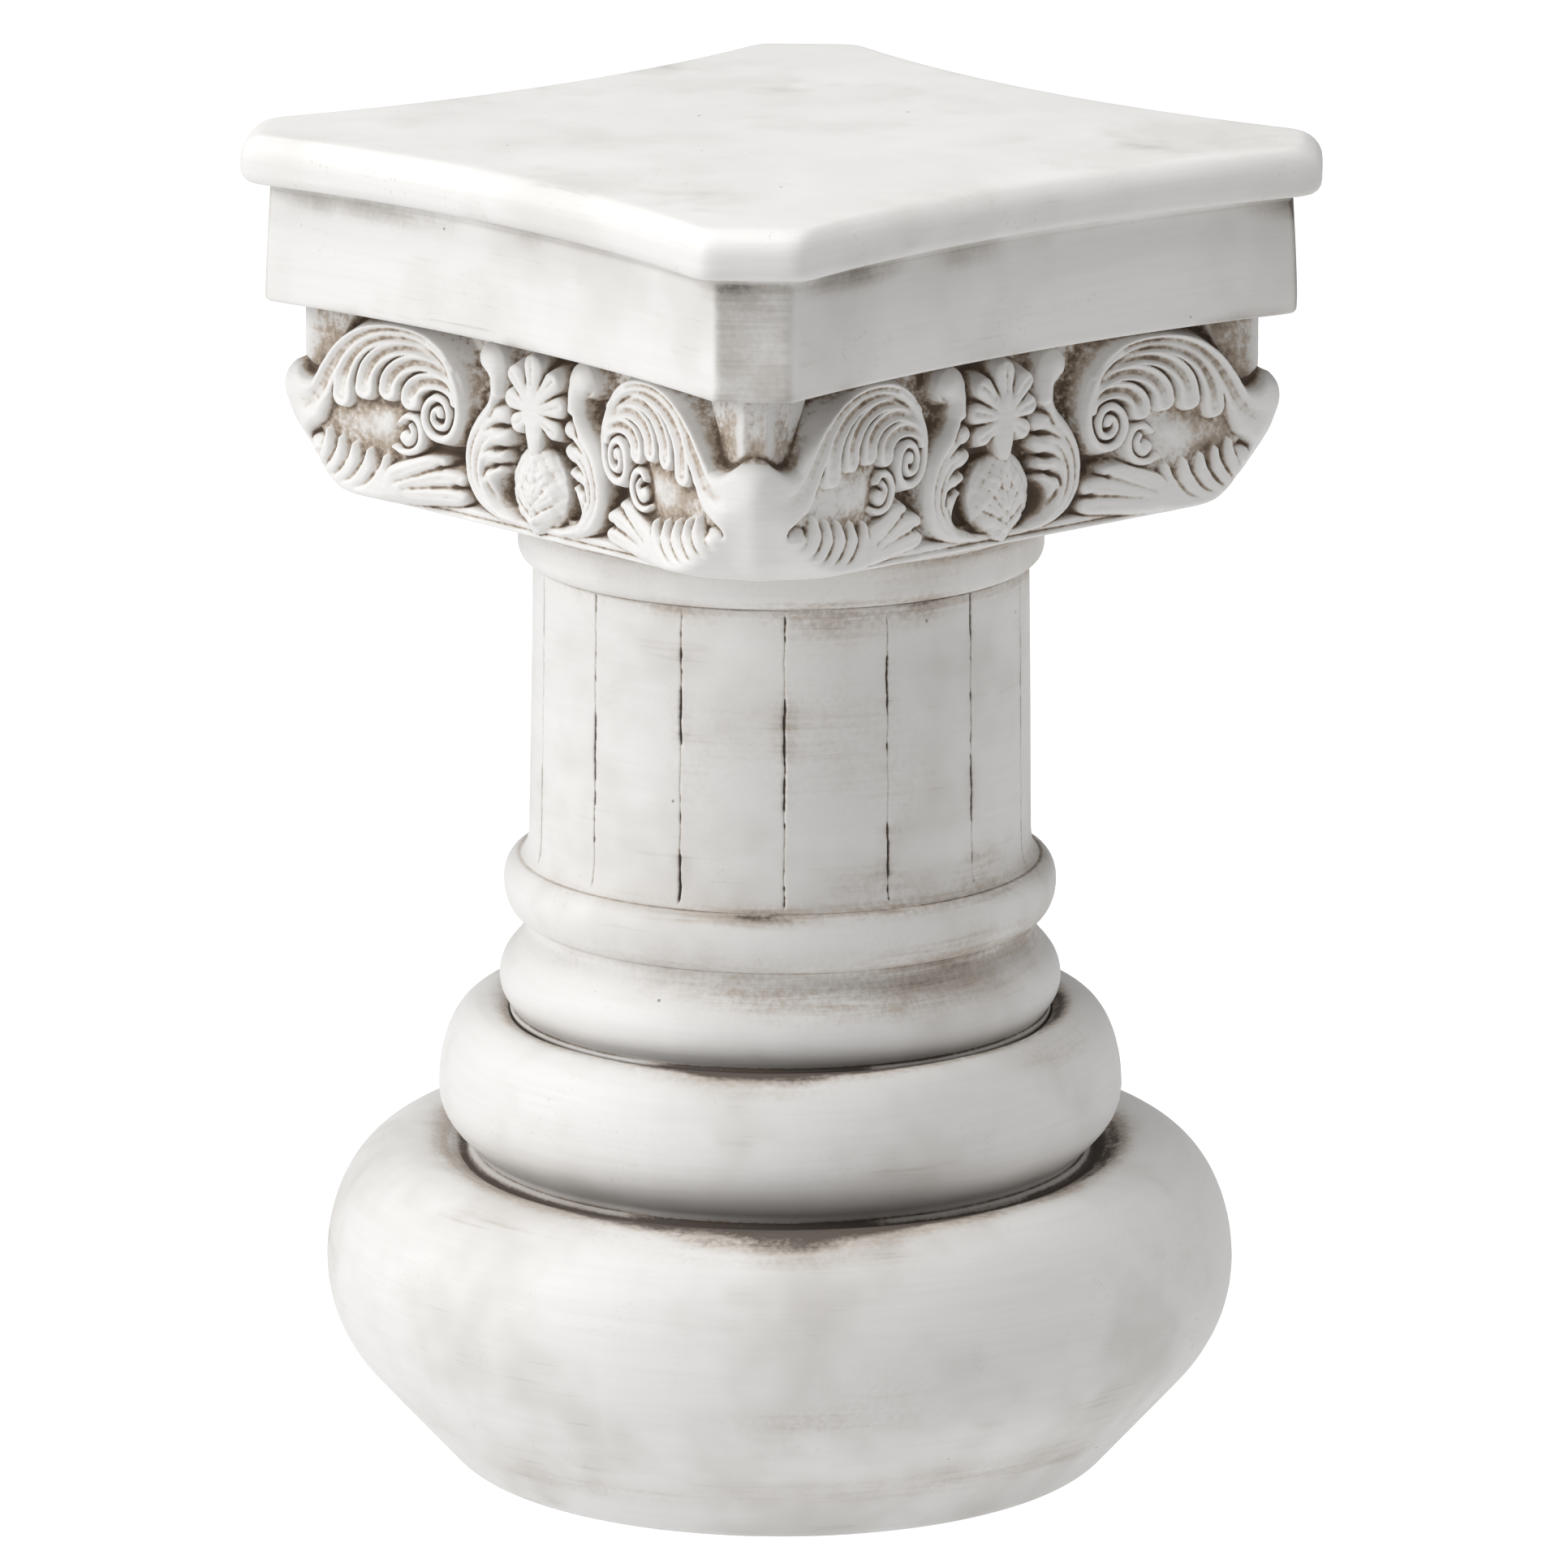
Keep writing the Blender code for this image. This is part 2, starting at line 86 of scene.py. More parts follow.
def boxBlur(field, reach, axis):
    # running mean, three times over, close to a Gaussian
    for _ in range(3):
        field = np.moveaxis(field, axis, 0)
        padded = np.concatenate([np.repeat(field[:1], reach + 1, 0), field, np.repeat(field[-1:], reach, 0)])
        total = np.cumsum(padded, axis=0, dtype=np.float32)
        field = (total[2 * reach + 1:] - total[:-2 * reach - 1]) / (2 * reach + 1)
        field = np.moveaxis(field, 0, axis)
    return field


def placed(name, data):
    thing = bpy.data.objects.new(name, data)
    bpy.context.scene.collection.objects.link(thing)
    return thing


def addPiece(name, points, faces, cavity, hollow, material, closing=()):
    # faces is an (n, 3) or (n, 4) array, closing the ring of points that one last face fills
    mesh = bpy.data.meshes.new(name)
    mesh.from_pydata(points.tolist(), [], faces.tolist() + ([list(closing)] if len(closing) else []))
    for mask, amounts in (("cavity", cavity), ("hollow", hollow)):
        layer = mesh.attributes.new(mask, "FLOAT", "POINT")
        layer.data.foreach_set("value", np.asarray(amounts, np.float32).ravel())
    mesh.polygons.foreach_set("use_smooth", np.ones(len(mesh.polygons), bool))
    mesh.materials.append(material)
    mesh.update()
    piece = placed(name, mesh)
    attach(piece, "root")
    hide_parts("roman_column")
    return piece


def addRings(name, rings, points, cavity, hollow, material, downwards):
    # rings of points one after another, from the bottom up or downwards, the last one filled
    columns = len(points) // rings
    first = np.arange(rings - 1)[:, None] * columns + np.arange(columns)
    after = np.arange(rings - 1)[:, None] * columns + np.roll(np.arange(columns), -1)
    corners = (first, after, after + columns, first + columns)
    closing = (rings - 1) * columns + np.arange(columns)
    if downwards:
        corners, closing = [corners[n] for n in (0, 3, 2, 1)], closing[::-1]
    faces = np.stack(corners, -1).reshape(-1, 4)
    addPiece(name, points, faces, cavity, hollow, material, closing.tolist())
    print(name, "built,", len(faces) * 2 + columns - 2, "triangles")


def newGroup(name, inputs, outputs):
    group = bpy.data.node_groups.new(name, "ShaderNodeTree")
    for label, kind, value in inputs:
        socket = group.interface.new_socket(label, in_out="INPUT", socket_type="NodeSocket" + kind)
        if value is not None:
            socket.default_value = value
    for label in outputs:
        group.interface.new_socket(label, in_out="OUTPUT", socket_type="NodeSocketFloat")
    return group, group.nodes.new("NodeGroupInput").outputs


def putOut(group, **results):
    made = group.nodes.new("NodeGroupOutput")
    for label, value in results.items():
        group.links.new(value, made.inputs[label])
    return group


def addNode(tree, kind, links=None, **settings):
    # links: socket name or number -> value or the socket that feeds it
    node = tree.nodes.new("ShaderNode" + kind)
    for key, value in settings.items():
        setattr(node, key, value)
    for socket, value in (links or {}).items():
        if isinstance(value, bpy.types.NodeSocket):
            tree.links.new(value, node.inputs[socket])
        else:
            node.inputs[socket].default_value = value
    return node


def calc(tree, operation, a, b=0.0, c=0.0, clamp=False):
    return addNode(tree, "Math", {0: a, 1: b, 2: c}, operation=operation, use_clamp=clamp).outputs[0]


def times(tree, a, b):
    return calc(tree, "MULTIPLY", a, b)


def timesAdd(tree, a, b, c, clamp=False):
    return calc(tree, "MULTIPLY_ADD", a, b, c, clamp)


def ramp(tree, value, low, high):
    return addNode(tree, "MapRange", {"Value": value, "From Min": low, "From Max": high},
                   interpolation_type="SMOOTHSTEP").outputs["Result"]


def noise(tree, place, scale, detail=3.0, roughness=0.55, distortion=0.0):
    return addNode(tree, "TexNoise", {"Vector": place, "Scale": scale, "Detail": detail, "Roughness": roughness,
                                      "Distortion": distortion}).outputs["Fac"]


def stretched(tree, place, size):
    return addNode(tree, "VectorMath", {0: place, 1: size}, operation="MULTIPLY").outputs[0]


def brushStreakGroup():
    # dry brush drawn round the piece: long in x and y, fine in z
    group, given = newGroup("brushStreaks", (("Place", "Vector", None), ("Fineness", "Float", 1.0)),
                            ("Streak", "Cloud", "Height"))
    scaled = addNode(group, "VectorMath", {0: given["Place"], "Scale": given["Fineness"]},
                     operation="SCALE").outputs[0]
    fine = noise(group, stretched(group, scaled, (24.0, 24.0, 560.0)), 1.0, 3.0, 0.62, 0.3)
    broad = noise(group, stretched(group, scaled, (9.0, 9.0, 120.0)), 1.0, 2.0, 0.6, 0.4)
    cloud = noise(group, scaled, 15.0, 3.0, 0.62)
    return putOut(group, Streak=timesAdd(group, fine, 0.55, times(group, broad, 0.45)), Cloud=cloud,
                  Height=fine)


def castingPitGroup():
    # air bubbles and grit of the casting
    group, given = newGroup("castingPits", (("Place", "Vector", None), ("Amount", "Float", 0.5)),
                            ("Pit", "Grit"))
    cells = addNode(group, "TexVoronoi", {"Vector": given["Place"], "Scale": 120.0, "Randomness": 1.0}).outputs
    chosen = addNode(group, "SeparateColor", {0: cells["Color"]}).outputs
    keep = calc(group, "LESS_THAN", chosen[0], times(group, given["Amount"], 0.1))
    size = timesAdd(group, chosen[1], 0.07, 0.035)
    spot = calc(group, "SUBTRACT", 1.0, ramp(group, cells["Distance"], times(group, size, 0.5), size))
    return putOut(group, Pit=times(group, spot, keep), Grit=noise(group, given["Place"], 480.0, 2.0, 0.6))


def antiqueWashAndShadeGroup():
    # brown wash left in the hollows and dragged out by the brush, with a beige fringe and wiped high spots;
    # deep and fringe also carry painted shade in creases, recesses and undersides, and the wiped output also
    # carries painted light on undersides
    inputs = [(label, "Float", value)
              for label, value in (("Patch", 0.5), ("Grit", 0.5), ("Cavity", 0.0), ("Hollow", 0.0))]
    group, given = newGroup("antiqueWashAndShade", inputs, ("Deep", "Fringe", "Wiped"))
    uneven = timesAdd(group, given["Patch"], 7.0, times(group, given["Grit"], 3.5))
    uneven = calc(group, "MINIMUM", calc(group, "MAXIMUM", calc(group, "SUBTRACT", uneven, 4.25), 0.2), 2.2)
    cavity = times(group, given["Cavity"], timesAdd(group, uneven, 0.5, 0.5))
    hollow = times(group, given["Hollow"], uneven)
    # deep and fringe: brown wash and painted shade together
    deep = calc(group, "MAXIMUM", ramp(group, cavity, 0.40, 0.95), ramp(group, hollow, 0.90, 2.1))
    fringe = calc(group, "MAXIMUM", ramp(group, cavity, 0.06, 0.65), ramp(group, hollow, 0.0, 1.15))
    # negative cavity: wiped high spots, and painted light on the turned body's undersides
    wipedAndLit = ramp(group, times(group, given["Cavity"], -1.0), 0.12, 0.8)
    return putOut(group, Deep=deep, Fringe=fringe, Wiped=wipedAndLit)


def scuffGroup():
    # short fine scratches, all lying one way
    group, given = newGroup("scuffs", (("Place", "Vector", None), ("Amount", "Float", 0.5)), ("Scratch",))
    leaning = addNode(group, "VectorRotate", {"Vector": given["Place"], "Rotation": (0.5, 0.3, 0.9)},
                      rotation_type="EULER_XYZ").outputs[0]
    lines = noise(group, stretched(group, leaning, (70.0, 900.0, 900.0)), 1.0, 1.0)
    here = ramp(group, noise(group, given["Place"], 42.0, 1.0), 0.56, 0.66)
    return putOut(group, Scratch=times(group, times(group, ramp(group, lines, 0.66, 0.72), here),
                                       given["Amount"]))


shared = {"streaks": brushStreakGroup(), "pits": castingPitGroup(), "washAndShade": antiqueWashAndShadeGroup(),
          "scuffs": scuffGroup()}
print("paint effects ready")


paint = {
    "paint": (0.825, 0.815, 0.80), "paintShade": (0.785, 0.772, 0.755), "bright": (0.87, 0.86, 0.845),
    # beige and brown wash colours, also laid as painted shade; bright is also laid as painted light
    "beige": (0.60, 0.575, 0.545), "beigeWash": (0.42, 0.345, 0.275), "brownWash": (0.088, 0.067, 0.054),
    # how strongly each layer covers what is under it
    "stain": 0.65, "drag": 0.55, "fringe": 0.72, "deep": 0.92, "wipedAndLit": 0.6, "pitDirt": 0.6, "scratchDirt": 0.4,
    # dragged: how much the wash follows the brush, grain: how much it follows the grit
    "dragged": 0.60, "grain": 0.45, "pits": 0.45, "scuffs": 0.3, "fineness": 1.0,
    "roughness": 0.50, "unevenGloss": 0.22, "bump": 0.40, "bumpHeight": 0.0005,
}


def antiquedPaint(name, **changes):
    # off-white brushed paint over the casting
    finish = {**paint, **changes}
    material = bpy.data.materials.new(name)
    material.use_nodes = True
    tree = material.node_tree
    shader = tree.nodes["Principled BSDF"].inputs
    place = addNode(tree, "TexCoord").outputs["Object"]

    def effect(which, **links):
        return addNode(tree, "Group", links, node_tree=shared[which]).outputs

    def mixed(amount, below, above):
        node = addNode(tree, "Mix", {"Factor": amount}, data_type="RGBA")
        for slot, value in ((6, below), (7, above)):
            if isinstance(value, bpy.types.NodeSocket):
                tree.links.new(value, node.inputs[slot])
            else:
                node.inputs[slot].default_value = (*value, 1.0)
        return node.outputs[2]

    brush = effect("streaks", Place=place, Fineness=finish["fineness"])
    streak, cloud = brush["Streak"], brush["Cloud"]
    pits = effect("pits", Place=place, Amount=finish["pits"])
    scratch = effect("scuffs", Place=place, Amount=finish["scuffs"])["Scratch"]
    patch = timesAdd(tree, streak, finish["dragged"], times(tree, cloud, 1.0 - finish["dragged"]))
    grit = timesAdd(tree, pits["Grit"], finish["grain"], 0.5 - 0.5 * finish["grain"])
    washAndShade = effect("washAndShade", Patch=patch, Grit=grit,
                  Cavity=addNode(tree, "Attribute", attribute_name="cavity").outputs["Fac"],
                  Hollow=addNode(tree, "Attribute", attribute_name="hollow").outputs["Fac"])
    drag = times(tree, ramp(tree, streak, 0.54, 0.72), ramp(tree, cloud, 0.48, 0.68))
    colour = mixed(ramp(tree, streak, 0.28, 0.68), finish["paintShade"], finish["paint"])
    # fringe and deep lay wash and painted shade; the wiped layer lays wiped paint and painted light
    for where, strength, over in ((ramp(tree, cloud, 0.44, 0.74), "stain", "beige"),
                                  (drag, "drag", "beigeWash"), (washAndShade["Fringe"], "fringe", "beigeWash"),
                                  (washAndShade["Deep"], "deep", "brownWash"), (washAndShade["Wiped"], "wipedAndLit", "bright"),
                                  (pits["Pit"], "pitDirt", "brownWash"), (scratch, "scratchDirt", "beigeWash")):
        colour = mixed(times(tree, where, finish[strength]), colour, finish[over])
    tree.links.new(colour, shader["Base Color"])

    uneven = finish["unevenGloss"]
    rough = timesAdd(tree, streak, uneven, finish["roughness"] - uneven / 2)
    tree.links.new(timesAdd(tree, washAndShade["Fringe"], uneven, rough, clamp=True), shader["Roughness"])
    shader["Specular IOR Level"].default_value = 0.4

    relief = timesAdd(tree, pits["Pit"], -1.6, times(tree, brush["Height"], 0.3))
    relief = timesAdd(tree, scratch, -0.8, relief)
    bump = addNode(tree, "Bump", {"Height": relief, "Strength": finish["bump"],
                                  "Distance": finish["bumpHeight"]})
    tree.links.new(bump.outputs["Normal"], shader["Normal"])
    return material


turned = {
    # metres: distances from the axis and heights above the floor, a pair is both
    "widest": 0.1554, "belly": 0.0696, "baseCrown": 0.0420, "baseShoulder": 0.0283,
    "bellyRound": 0.0497, "bellySlope": 42.0, "footRound": 0.014,
    "baseCrease": (0.1072, 0.1067), "baseBead": (0.1060, 0.1086), "torusCrease": (0.1043, 0.1090),
    "baseTop": ((0.1080, 0.1069), (0.1102, 0.1077), (0.1140, 0.1092), (0.1185, 0.1106), (0.1225, 0.1113)),
    "torusCrown": 0.1028, "torusBelly": 0.1304, "torusRise": 0.0290, "torusOut": 0.0141,
    "torusUnder": ((0.1164, 0.1265), (0.1150, 0.1226), (0.1129, 0.1192), (0.1103, 0.1161), (0.1076, 0.1133),
                   (0.1055, 0.1112)),
    "torusTop": ((0.0922, 0.1560), (0.0940, 0.1573), (0.0968, 0.1587)),
    "lipCrease": (0.0916, 0.1558), "lipBead": (0.0924, 0.1577), "lipUnder": (0.0914, 0.1587),
    "lip": ((0.0866, 0.1872), (0.0870, 0.1860), (0.0882, 0.1838), (0.0902, 0.1810), (0.0926, 0.1782),
            (0.0944, 0.1754), (0.0955, 0.1722), (0.0958, 0.1692), (0.0955, 0.1664), (0.0946, 0.1638),
            (0.0931, 0.1613)),
    "scotiaTop": (0.0868, 0.1907), "ringBelly": 0.2029, "ringSwell": 0.0942,
    "ringTop": (0.0890, 0.2114), "shaftFoot": (0.0855, 0.2213), "shaftTop": (0.0841, 0.3145),
    "neck": 0.0892, "neckRound": 0.0060, "capitalFoot": 0.3357,
    # incised lines: degrees, widths and depth, how far they waver and the burr they throw up
    "lines": 15, "lineStart": 48.9, "lineWidth": 0.00036, "lineDepth": 0.0011, "lineWaver": 0.00022,
    "burr": 0.00010, "burrOut": 0.0009, "burrWidth": 0.0004, "regularColumns": 120,
    # strength where a line is hardly marked
    "lineLeast": 0.16,
    # wash of a line: in it, beside it, how far beside; its smear: strength and reach
    "lineWash": (1.35, 0.30, 0.0006), "lineSmear": (0.30, 0.0020),
    "lineColumns": (-1.0, -0.55, -0.30, -0.18, -0.08, 0.0, 0.08, 0.18, 0.30, 0.55, 1.0),
    "seam": (-64.0, 116.0), "seamHeight": 0.00012, "seamWidth": 0.0016, "waver": 0.00012,
    # how the wash and painted shade change round the piece: degrees of the thick side, turned from the key
    # lamp, then amount, number of waves, their start
    "washAndShadeSide": 12, "washWaves": ((0.16, 3, 1.0), (0.10, 7, 2.2)), "creaseLeast": 0.45, "creaseMore": 0.60,
    # crease, darkness, reach, then the smear round it: strength and reach
    "creases": (("neckFoot", 0.6, 0.0020, 0.45, 0.0080), ("shaftTop", 0.95, 0.0009, 0.60, 0.0060),
                ("ringTop", 0.85, 0.0009, 0.60, 0.0050), ("scotiaTop", 0.75, 0.0010, 0.75, 0.0110),
                ("lipUnder", 1.0, 0.0007, 0.15, 0.0022), ("lipCrease", 1.3, 0.0014, 0.40, 0.0030),
                ("torusCrease", 1.0, 0.0008, 0.12, 0.0020), ("baseCrease", 1.2, 0.0018, 0.40, 0.0030)),
    # undersides painted lighter, as painted light: from, to
    "paintedLightBands": ((0.1115, 0.1300), (0.1615, 0.1700)), "paintedLightWithin": 0.1305, "paintedLightStrength": 0.9,
    # wash and painted shade pooled outside a crease: crease, the edge of the moulding above, reach of the wash
    # and painted shade and of its smear
    "pooledWashAndShade": (("lipCrease", "lipUnder", 0.0142, 0.0168), ("baseCrease", "torusCrease", 0.0275, 0.0318)),
    # degrees to the right of the photo's side, half width in degrees, share of the full width
    "photoSide": -42.0, "washAndShadePools": ((-4, 40, 0.92), (150, 36, 0.60), (235, 24, 0.40)), "poolLeast": 0.08,
    # strength in the pool, in the smear round it and on the edge above
    "poolDark": 1.9, "poolSmear": 1.5, "poolEdge": 1.5,
    # dirt: degrees to the right of the photo's side, height, half width in degrees, half height, strength
    "dirtStrength": 1.7,
    "dirt": ((8, 0.2750, 22, 0.0340, 0.20), (-3, 0.2106, 9, 0.0022, 0.45), (24, 0.2108, 10, 0.0020, 0.35),
             (-20, 0.2600, 9, 0.0300, 0.14), (30, 0.2500, 14, 0.0240, 0.12), (12, 0.3115, 13, 0.0060, 0.42),
             (33, 0.3120, 5, 0.0050, 0.34), (-24, 0.3130, 8, 0.0030, 0.25), (22, 0.2200, 12, 0.0060, 0.26),
             (52, 0.2190, 9, 0.0080, 0.30), (14, 0.0680, 9, 0.0150, 0.14), (4, 0.0540, 16, 0.0060, 0.22),
             (20, 0.1800, 26, 0.0060, 0.36), (-6, 0.1840, 14, 0.0040, 0.26), (62, 0.1560, 20, 0.0050, 0.26),
             (30, 0.0240, 34, 0.0080, 0.22), (-30, 0.0180, 24, 0.0050, 0.22), (66, 0.0880, 14, 0.0160, 0.14),
             (140, 0.2600, 12, 0.0200, 0.20), (200, 0.0700, 16, 0.0140, 0.24), (250, 0.3100, 14, 0.0060, 0.34),
             (170, 0.1850, 24, 0.0034, 0.34), (285, 0.0300, 26, 0.0080, 0.24), (120, 0.3110, 12, 0.0050, 0.30)),
}


def turnedLine():
    # outer line from inside the capital down to the floor
    t = turned
    top, shaftFoot, ring, scotia = t["shaftTop"], t["shaftFoot"], t["ringTop"], t["scotiaTop"]
    share = np.linspace(0.03, 1.0, 64)
    shaft = np.column_stack([top[0] + (shaftFoot[0] - top[0]) * share,
                             top[1] - 0.0016 + (shaftFoot[1] - top[1] + 0.0016) * share])
    crownOut = t["widest"] - t["baseShoulder"]
    slope, bellyRound, footRound = math.radians(t["bellySlope"]), t["bellyRound"], t["footRound"]
    lower = arc((t["widest"] - bellyRound, t["belly"]), bellyRound, bellyRound, -2, -t["bellySlope"], 16)
    centre = lower[-1][0] - lower[-1][1] * math.tan(slope) - footRound * math.tan((math.pi / 2 - slope) / 2)
    foot = arc((centre, footRound), footRound, footRound, -t["bellySlope"], -90, 12)
    runs = (
        [(t["neck"], t["capitalFoot"] + 0.002), (t["neck"], t["capitalFoot"] - 0.006)],
        arc((top[0] + 0.0002, top[1] + t["neckRound"]), t["neck"] - top[0] - 0.0002, t["neckRound"],
            0, -88, 14),
        [top, (top[0] + 0.00002, top[1] - 0.0006), (top[0] + 0.00005, top[1] - 0.0016)], shaft,
        arc((ring[0], shaftFoot[1]), ring[0] - shaftFoot[0], shaftFoot[1] - ring[1], 184, 266, 12),
        arc((ring[0], t["ringBelly"]), t["ringSwell"] - ring[0], ring[1] - t["ringBelly"], 84, 0, 12),
        arc((scotia[0], t["ringBelly"]), t["ringSwell"] - scotia[0], t["ringBelly"] - scotia[1], -4, -86, 16),
        [scotia, (scotia[0] - 0.0002, scotia[1] - 0.0012)],
        smoothLine(t["lip"] + (t["lipUnder"],), 4),
        smoothLine((t["lipUnder"], t["lipBead"], t["lipCrease"]), 4)[1:],
        smoothLine(t["torusTop"] + ((t["torusCrown"] - 0.0025, 0.1593),), 3),
        arc((t["torusCrown"], t["torusBelly"]), t["torusOut"], t["torusRise"], 90, 0, 26),
        smoothLine(t["torusUnder"] + (t["torusCrease"],), 4),
        smoothLine((t["torusCrease"], t["baseBead"], t["baseCrease"]), 4)[1:],
        smoothLine(t["baseTop"] + ((crownOut - 0.002, 0.1116),), 4),
        arc((crownOut, t["belly"]), t["baseShoulder"], t["baseCrown"], 90, 0, 34), lower,
        np.linspace(lower[-1], foot[0], 12)[1:-1], foot, np.linspace(foot[-1], (0.0005, 0.0), 9)[1:],
    )
    return np.vstack(runs)


def creaseWash(line):
    # how deep each point of the line sits in a crease, and how much smear lies round it
    t = turned
    places = {**t, "neckFoot": (t["neck"], t["capitalFoot"] - 0.0050)}
    cavity, hollow = np.zeros(len(line)), np.zeros(len(line))
    for crease, strength, reach, smear, smearReach in t["creases"]:
        away = np.hypot(*(line - places[crease]).T)
        cavity = np.maximum(cavity, strength * mound(away, reach, 1.4))
        hollow = np.maximum(hollow, smear * mound(away, smearReach, 1.5))
    out, height = line.T
    # painted light: undersides get a negative cavity, which the paint turns to its bright colour
    for low, high in t["paintedLightBands"]:
        paintedLightMask = softStep(height, low, low + 0.002) * (1 - softStep(height, high - 0.005, high))
        paintedLightMask *= out < t["paintedLightWithin"]
        cavity = cavity - t["paintedLightStrength"] * paintedLightMask * (cavity < 0.1)
    return cavity, hollow


def lineAngles():
    # columns crowd round the incised lines
    step = 360.0 / turned["lines"]
    starts = turned["lineStart"] - 90 + step * np.arange(turned["lines"])
    count = turned["regularColumns"] // turned["lines"]
    between = starts[:, None] + 1.0 + (step - 2.0) * np.arange(1, count) / count
    angles = np.hstack([starts[:, None] + turned["lineColumns"], between])
    return np.sort(np.radians(angles.ravel() % 360)), np.radians(starts)


def turnFrom(angle, start):
    # the short way round, up to half a turn either way
    return (angle - start + math.pi) % (2 * math.pi) - math.pi


def wander(x, seed, scale):
    # smooth repeatable waver between -1 and 1
    return (np.sin(x * scale + seed * 1.7) + 0.6 * np.sin(x * scale * 2.3 + seed * 4.1)
            + 0.4 * np.sin(x * scale * 4.9 + seed * 2.9)) / 2.0


def washAndShadeAround(angle):
    # the wash and painted shade lie thicker on the side turned from the key lamp, with slow changes round the
    # piece
    side = 0.62 + 0.38 * np.cos(angle - math.radians(turned["washAndShadeSide"]))
    change = 1
    for amount, waves, start in turned["washWaves"]:
        change = change + amount * np.sin(waves * angle + start)
    return side * change


def poolWashAndShade(line, angle, radius, height, share, cavity, hollow):
    # wash and painted shade pooled on the crowns outside the two deep creases, widest on the photo's side
    t = turned
    order = np.arange(len(line))[:, None]
    wide = t["poolLeast"]
    for right, halfWidth, amount in t["washAndShadePools"]:
        wide = wide + amount * mound(turnFrom(angle, math.radians(right + t["photoSide"])),
                                     math.radians(halfWidth))
    wide = wide * (1 + 0.12 * wander(angle, 3, 5.0))
    for crease, bead, dark, smeared in t["pooledWashAndShade"]:
        near = height > t[crease][1] - 0.003
        outside = (order > np.hypot(*(line - t[crease]).T).argmin()) & near
        over = (order > np.hypot(*(line - t[bead]).T).argmin()) & ~outside & near
        out = np.clip(radius - t[crease][0], 0, None)
        pooledWashAndShade = t["poolDark"] * (0.35 + 0.65 * share) * mound(out, dark * wide, 4)
        smear = t["poolSmear"] * (0.3 + 0.7 * share) * mound(out, smeared * (0.35 + 0.65 * wide), 4)
        cavity = np.where(outside, np.maximum(cavity, pooledWashAndShade), cavity)
        cavity = np.where(over, np.maximum(cavity, t["poolEdge"] * softStep(wide, 0.55, 0.95)), cavity)
        hollow = np.where(outside, np.maximum(hollow, smear), hollow)
    return cavity, hollow


def buildTurnedBody():
    t = turned
    line = turnedLine()
    cavity, hollow = creaseWash(line)
    angles, starts = lineAngles()
    angle, radius = np.meshgrid(angles, line[:, 0])
    height = np.repeat(line[:, 1][:, None], len(angles), 1)
    # wash and painted shade, thicker on the side turned from the key lamp
    share = washAndShadeAround(angle)
    cavity = cavity[:, None] * (t["creaseLeast"] + t["creaseMore"] * share)
    hollow = hollow[:, None] * share
    cavity, hollow = poolWashAndShade(line, angle, radius, height, share, cavity, hollow)
    inLine = softStep(height, t["ringTop"][1] + 0.0012, t["ringTop"][1] + 0.0032)
    inLine *= 1 - softStep(height, t["shaftTop"][1] - 0.0022, t["shaftTop"][1] - 0.0006)
    least, (inside, beside, besideReach), (smear, smearReach) = t["lineLeast"], t["lineWash"], t["lineSmear"]
    for number, start in enumerate(starts):
        across = turnFrom(angle, start) * radius + t["lineWaver"] * wander(height, number, 260.0)
        # cut deep in places, hardly marked in others
        strong = wander(height, number * 2.3 + 1, 95.0) + 0.45 * wander(height, number + 3, 900.0)
        strong = least + (1 - least) * softStep(strong, -0.25, 0.55)
        width = t["lineWidth"] * (0.55 + 0.5 * strong) * (1.0 + 0.22 * wander(height, number + 7, 620.0))
        across = np.abs(across)
        cut = inLine * strong * mound(across, width, 2.2)
        burr = inLine * mound(across - t["burrOut"], t["burrWidth"])
        radius = radius - t["lineDepth"] * cut + t["burr"] * burr * strong
        cavity = np.maximum(cavity, inside * cut + beside * inLine * mound(across, besideReach))
        hollow = np.maximum(hollow, smear * strong * inLine * mound(across, smearReach))
    for right, high, halfWidth, halfHeight, strength in t["dirt"]:
        turn = turnFrom(angle, math.radians(right + t["photoSide"]))
        spot = np.exp(-(turn / math.radians(halfWidth)) ** 2 - ((height - high) / halfHeight) ** 2)
        hollow = hollow + strength * t["dirtStrength"] * spot
    # joint of the mould, hardly proud of the mouldings
    for seam in t["seam"]:
        away = turnFrom(angle, math.radians(seam)) * radius
        proud = mound(away, t["seamWidth"]) * softStep(radius, 0.086, 0.09) * (height < 0.2)
        radius = radius + t["seamHeight"] * proud
    # hand-finished surface: the slightest waver of the radius
    waver = np.sin(3 * angle + 40 * height) * softStep(radius, 0.02, 0.06) * (radius < 0.15)
    radius = radius + t["waver"] * waver
    points = np.stack([radius * np.cos(angle), radius * np.sin(angle), height], -1).reshape(-1, 3)
    addRings("turned_body", len(line), points, cavity, hollow, antiquedPaint("turned_paint", scuffs=0.35), True)


slab = {
    "soffit": 0.4025, "fasciaTop": 0.4434, "top": castTop,
    # an outline: from the axis to the cut face, half the cut face, hollow of the side, rounding of its corners
    "fascia": {"corner": 0.1735, "cut": 0.0125, "hollow": 0.0100, "round": 0.0024},
    "rim": {"corner": 0.1815, "cut": 0.0168, "hollow": 0.0133, "round": 0.0058},
    "fasciaFlare": 0.0019, "fasciaEdge": 0.0018, "filletRound": 0.0026,
    "rimTopRound": 0.0086, "rimFootRound": 0.0042,
    # wash: strength, metres below the rim, half height
    # painted shade: a band under the rim and the soffit; the cut faces get grey dirt and painted shade
    "fasciaWash": (0.62, 0.0030, 0.0011), "underRimShade": (0.36, 0.0, 0.0045), "smears": (0.75, 0.0045, 0.0042),
    "filletWash": 0.80, "soffitShade": 0.9, "cutFaceDirtAndShade": 0.66, "chips": 0.55,
}


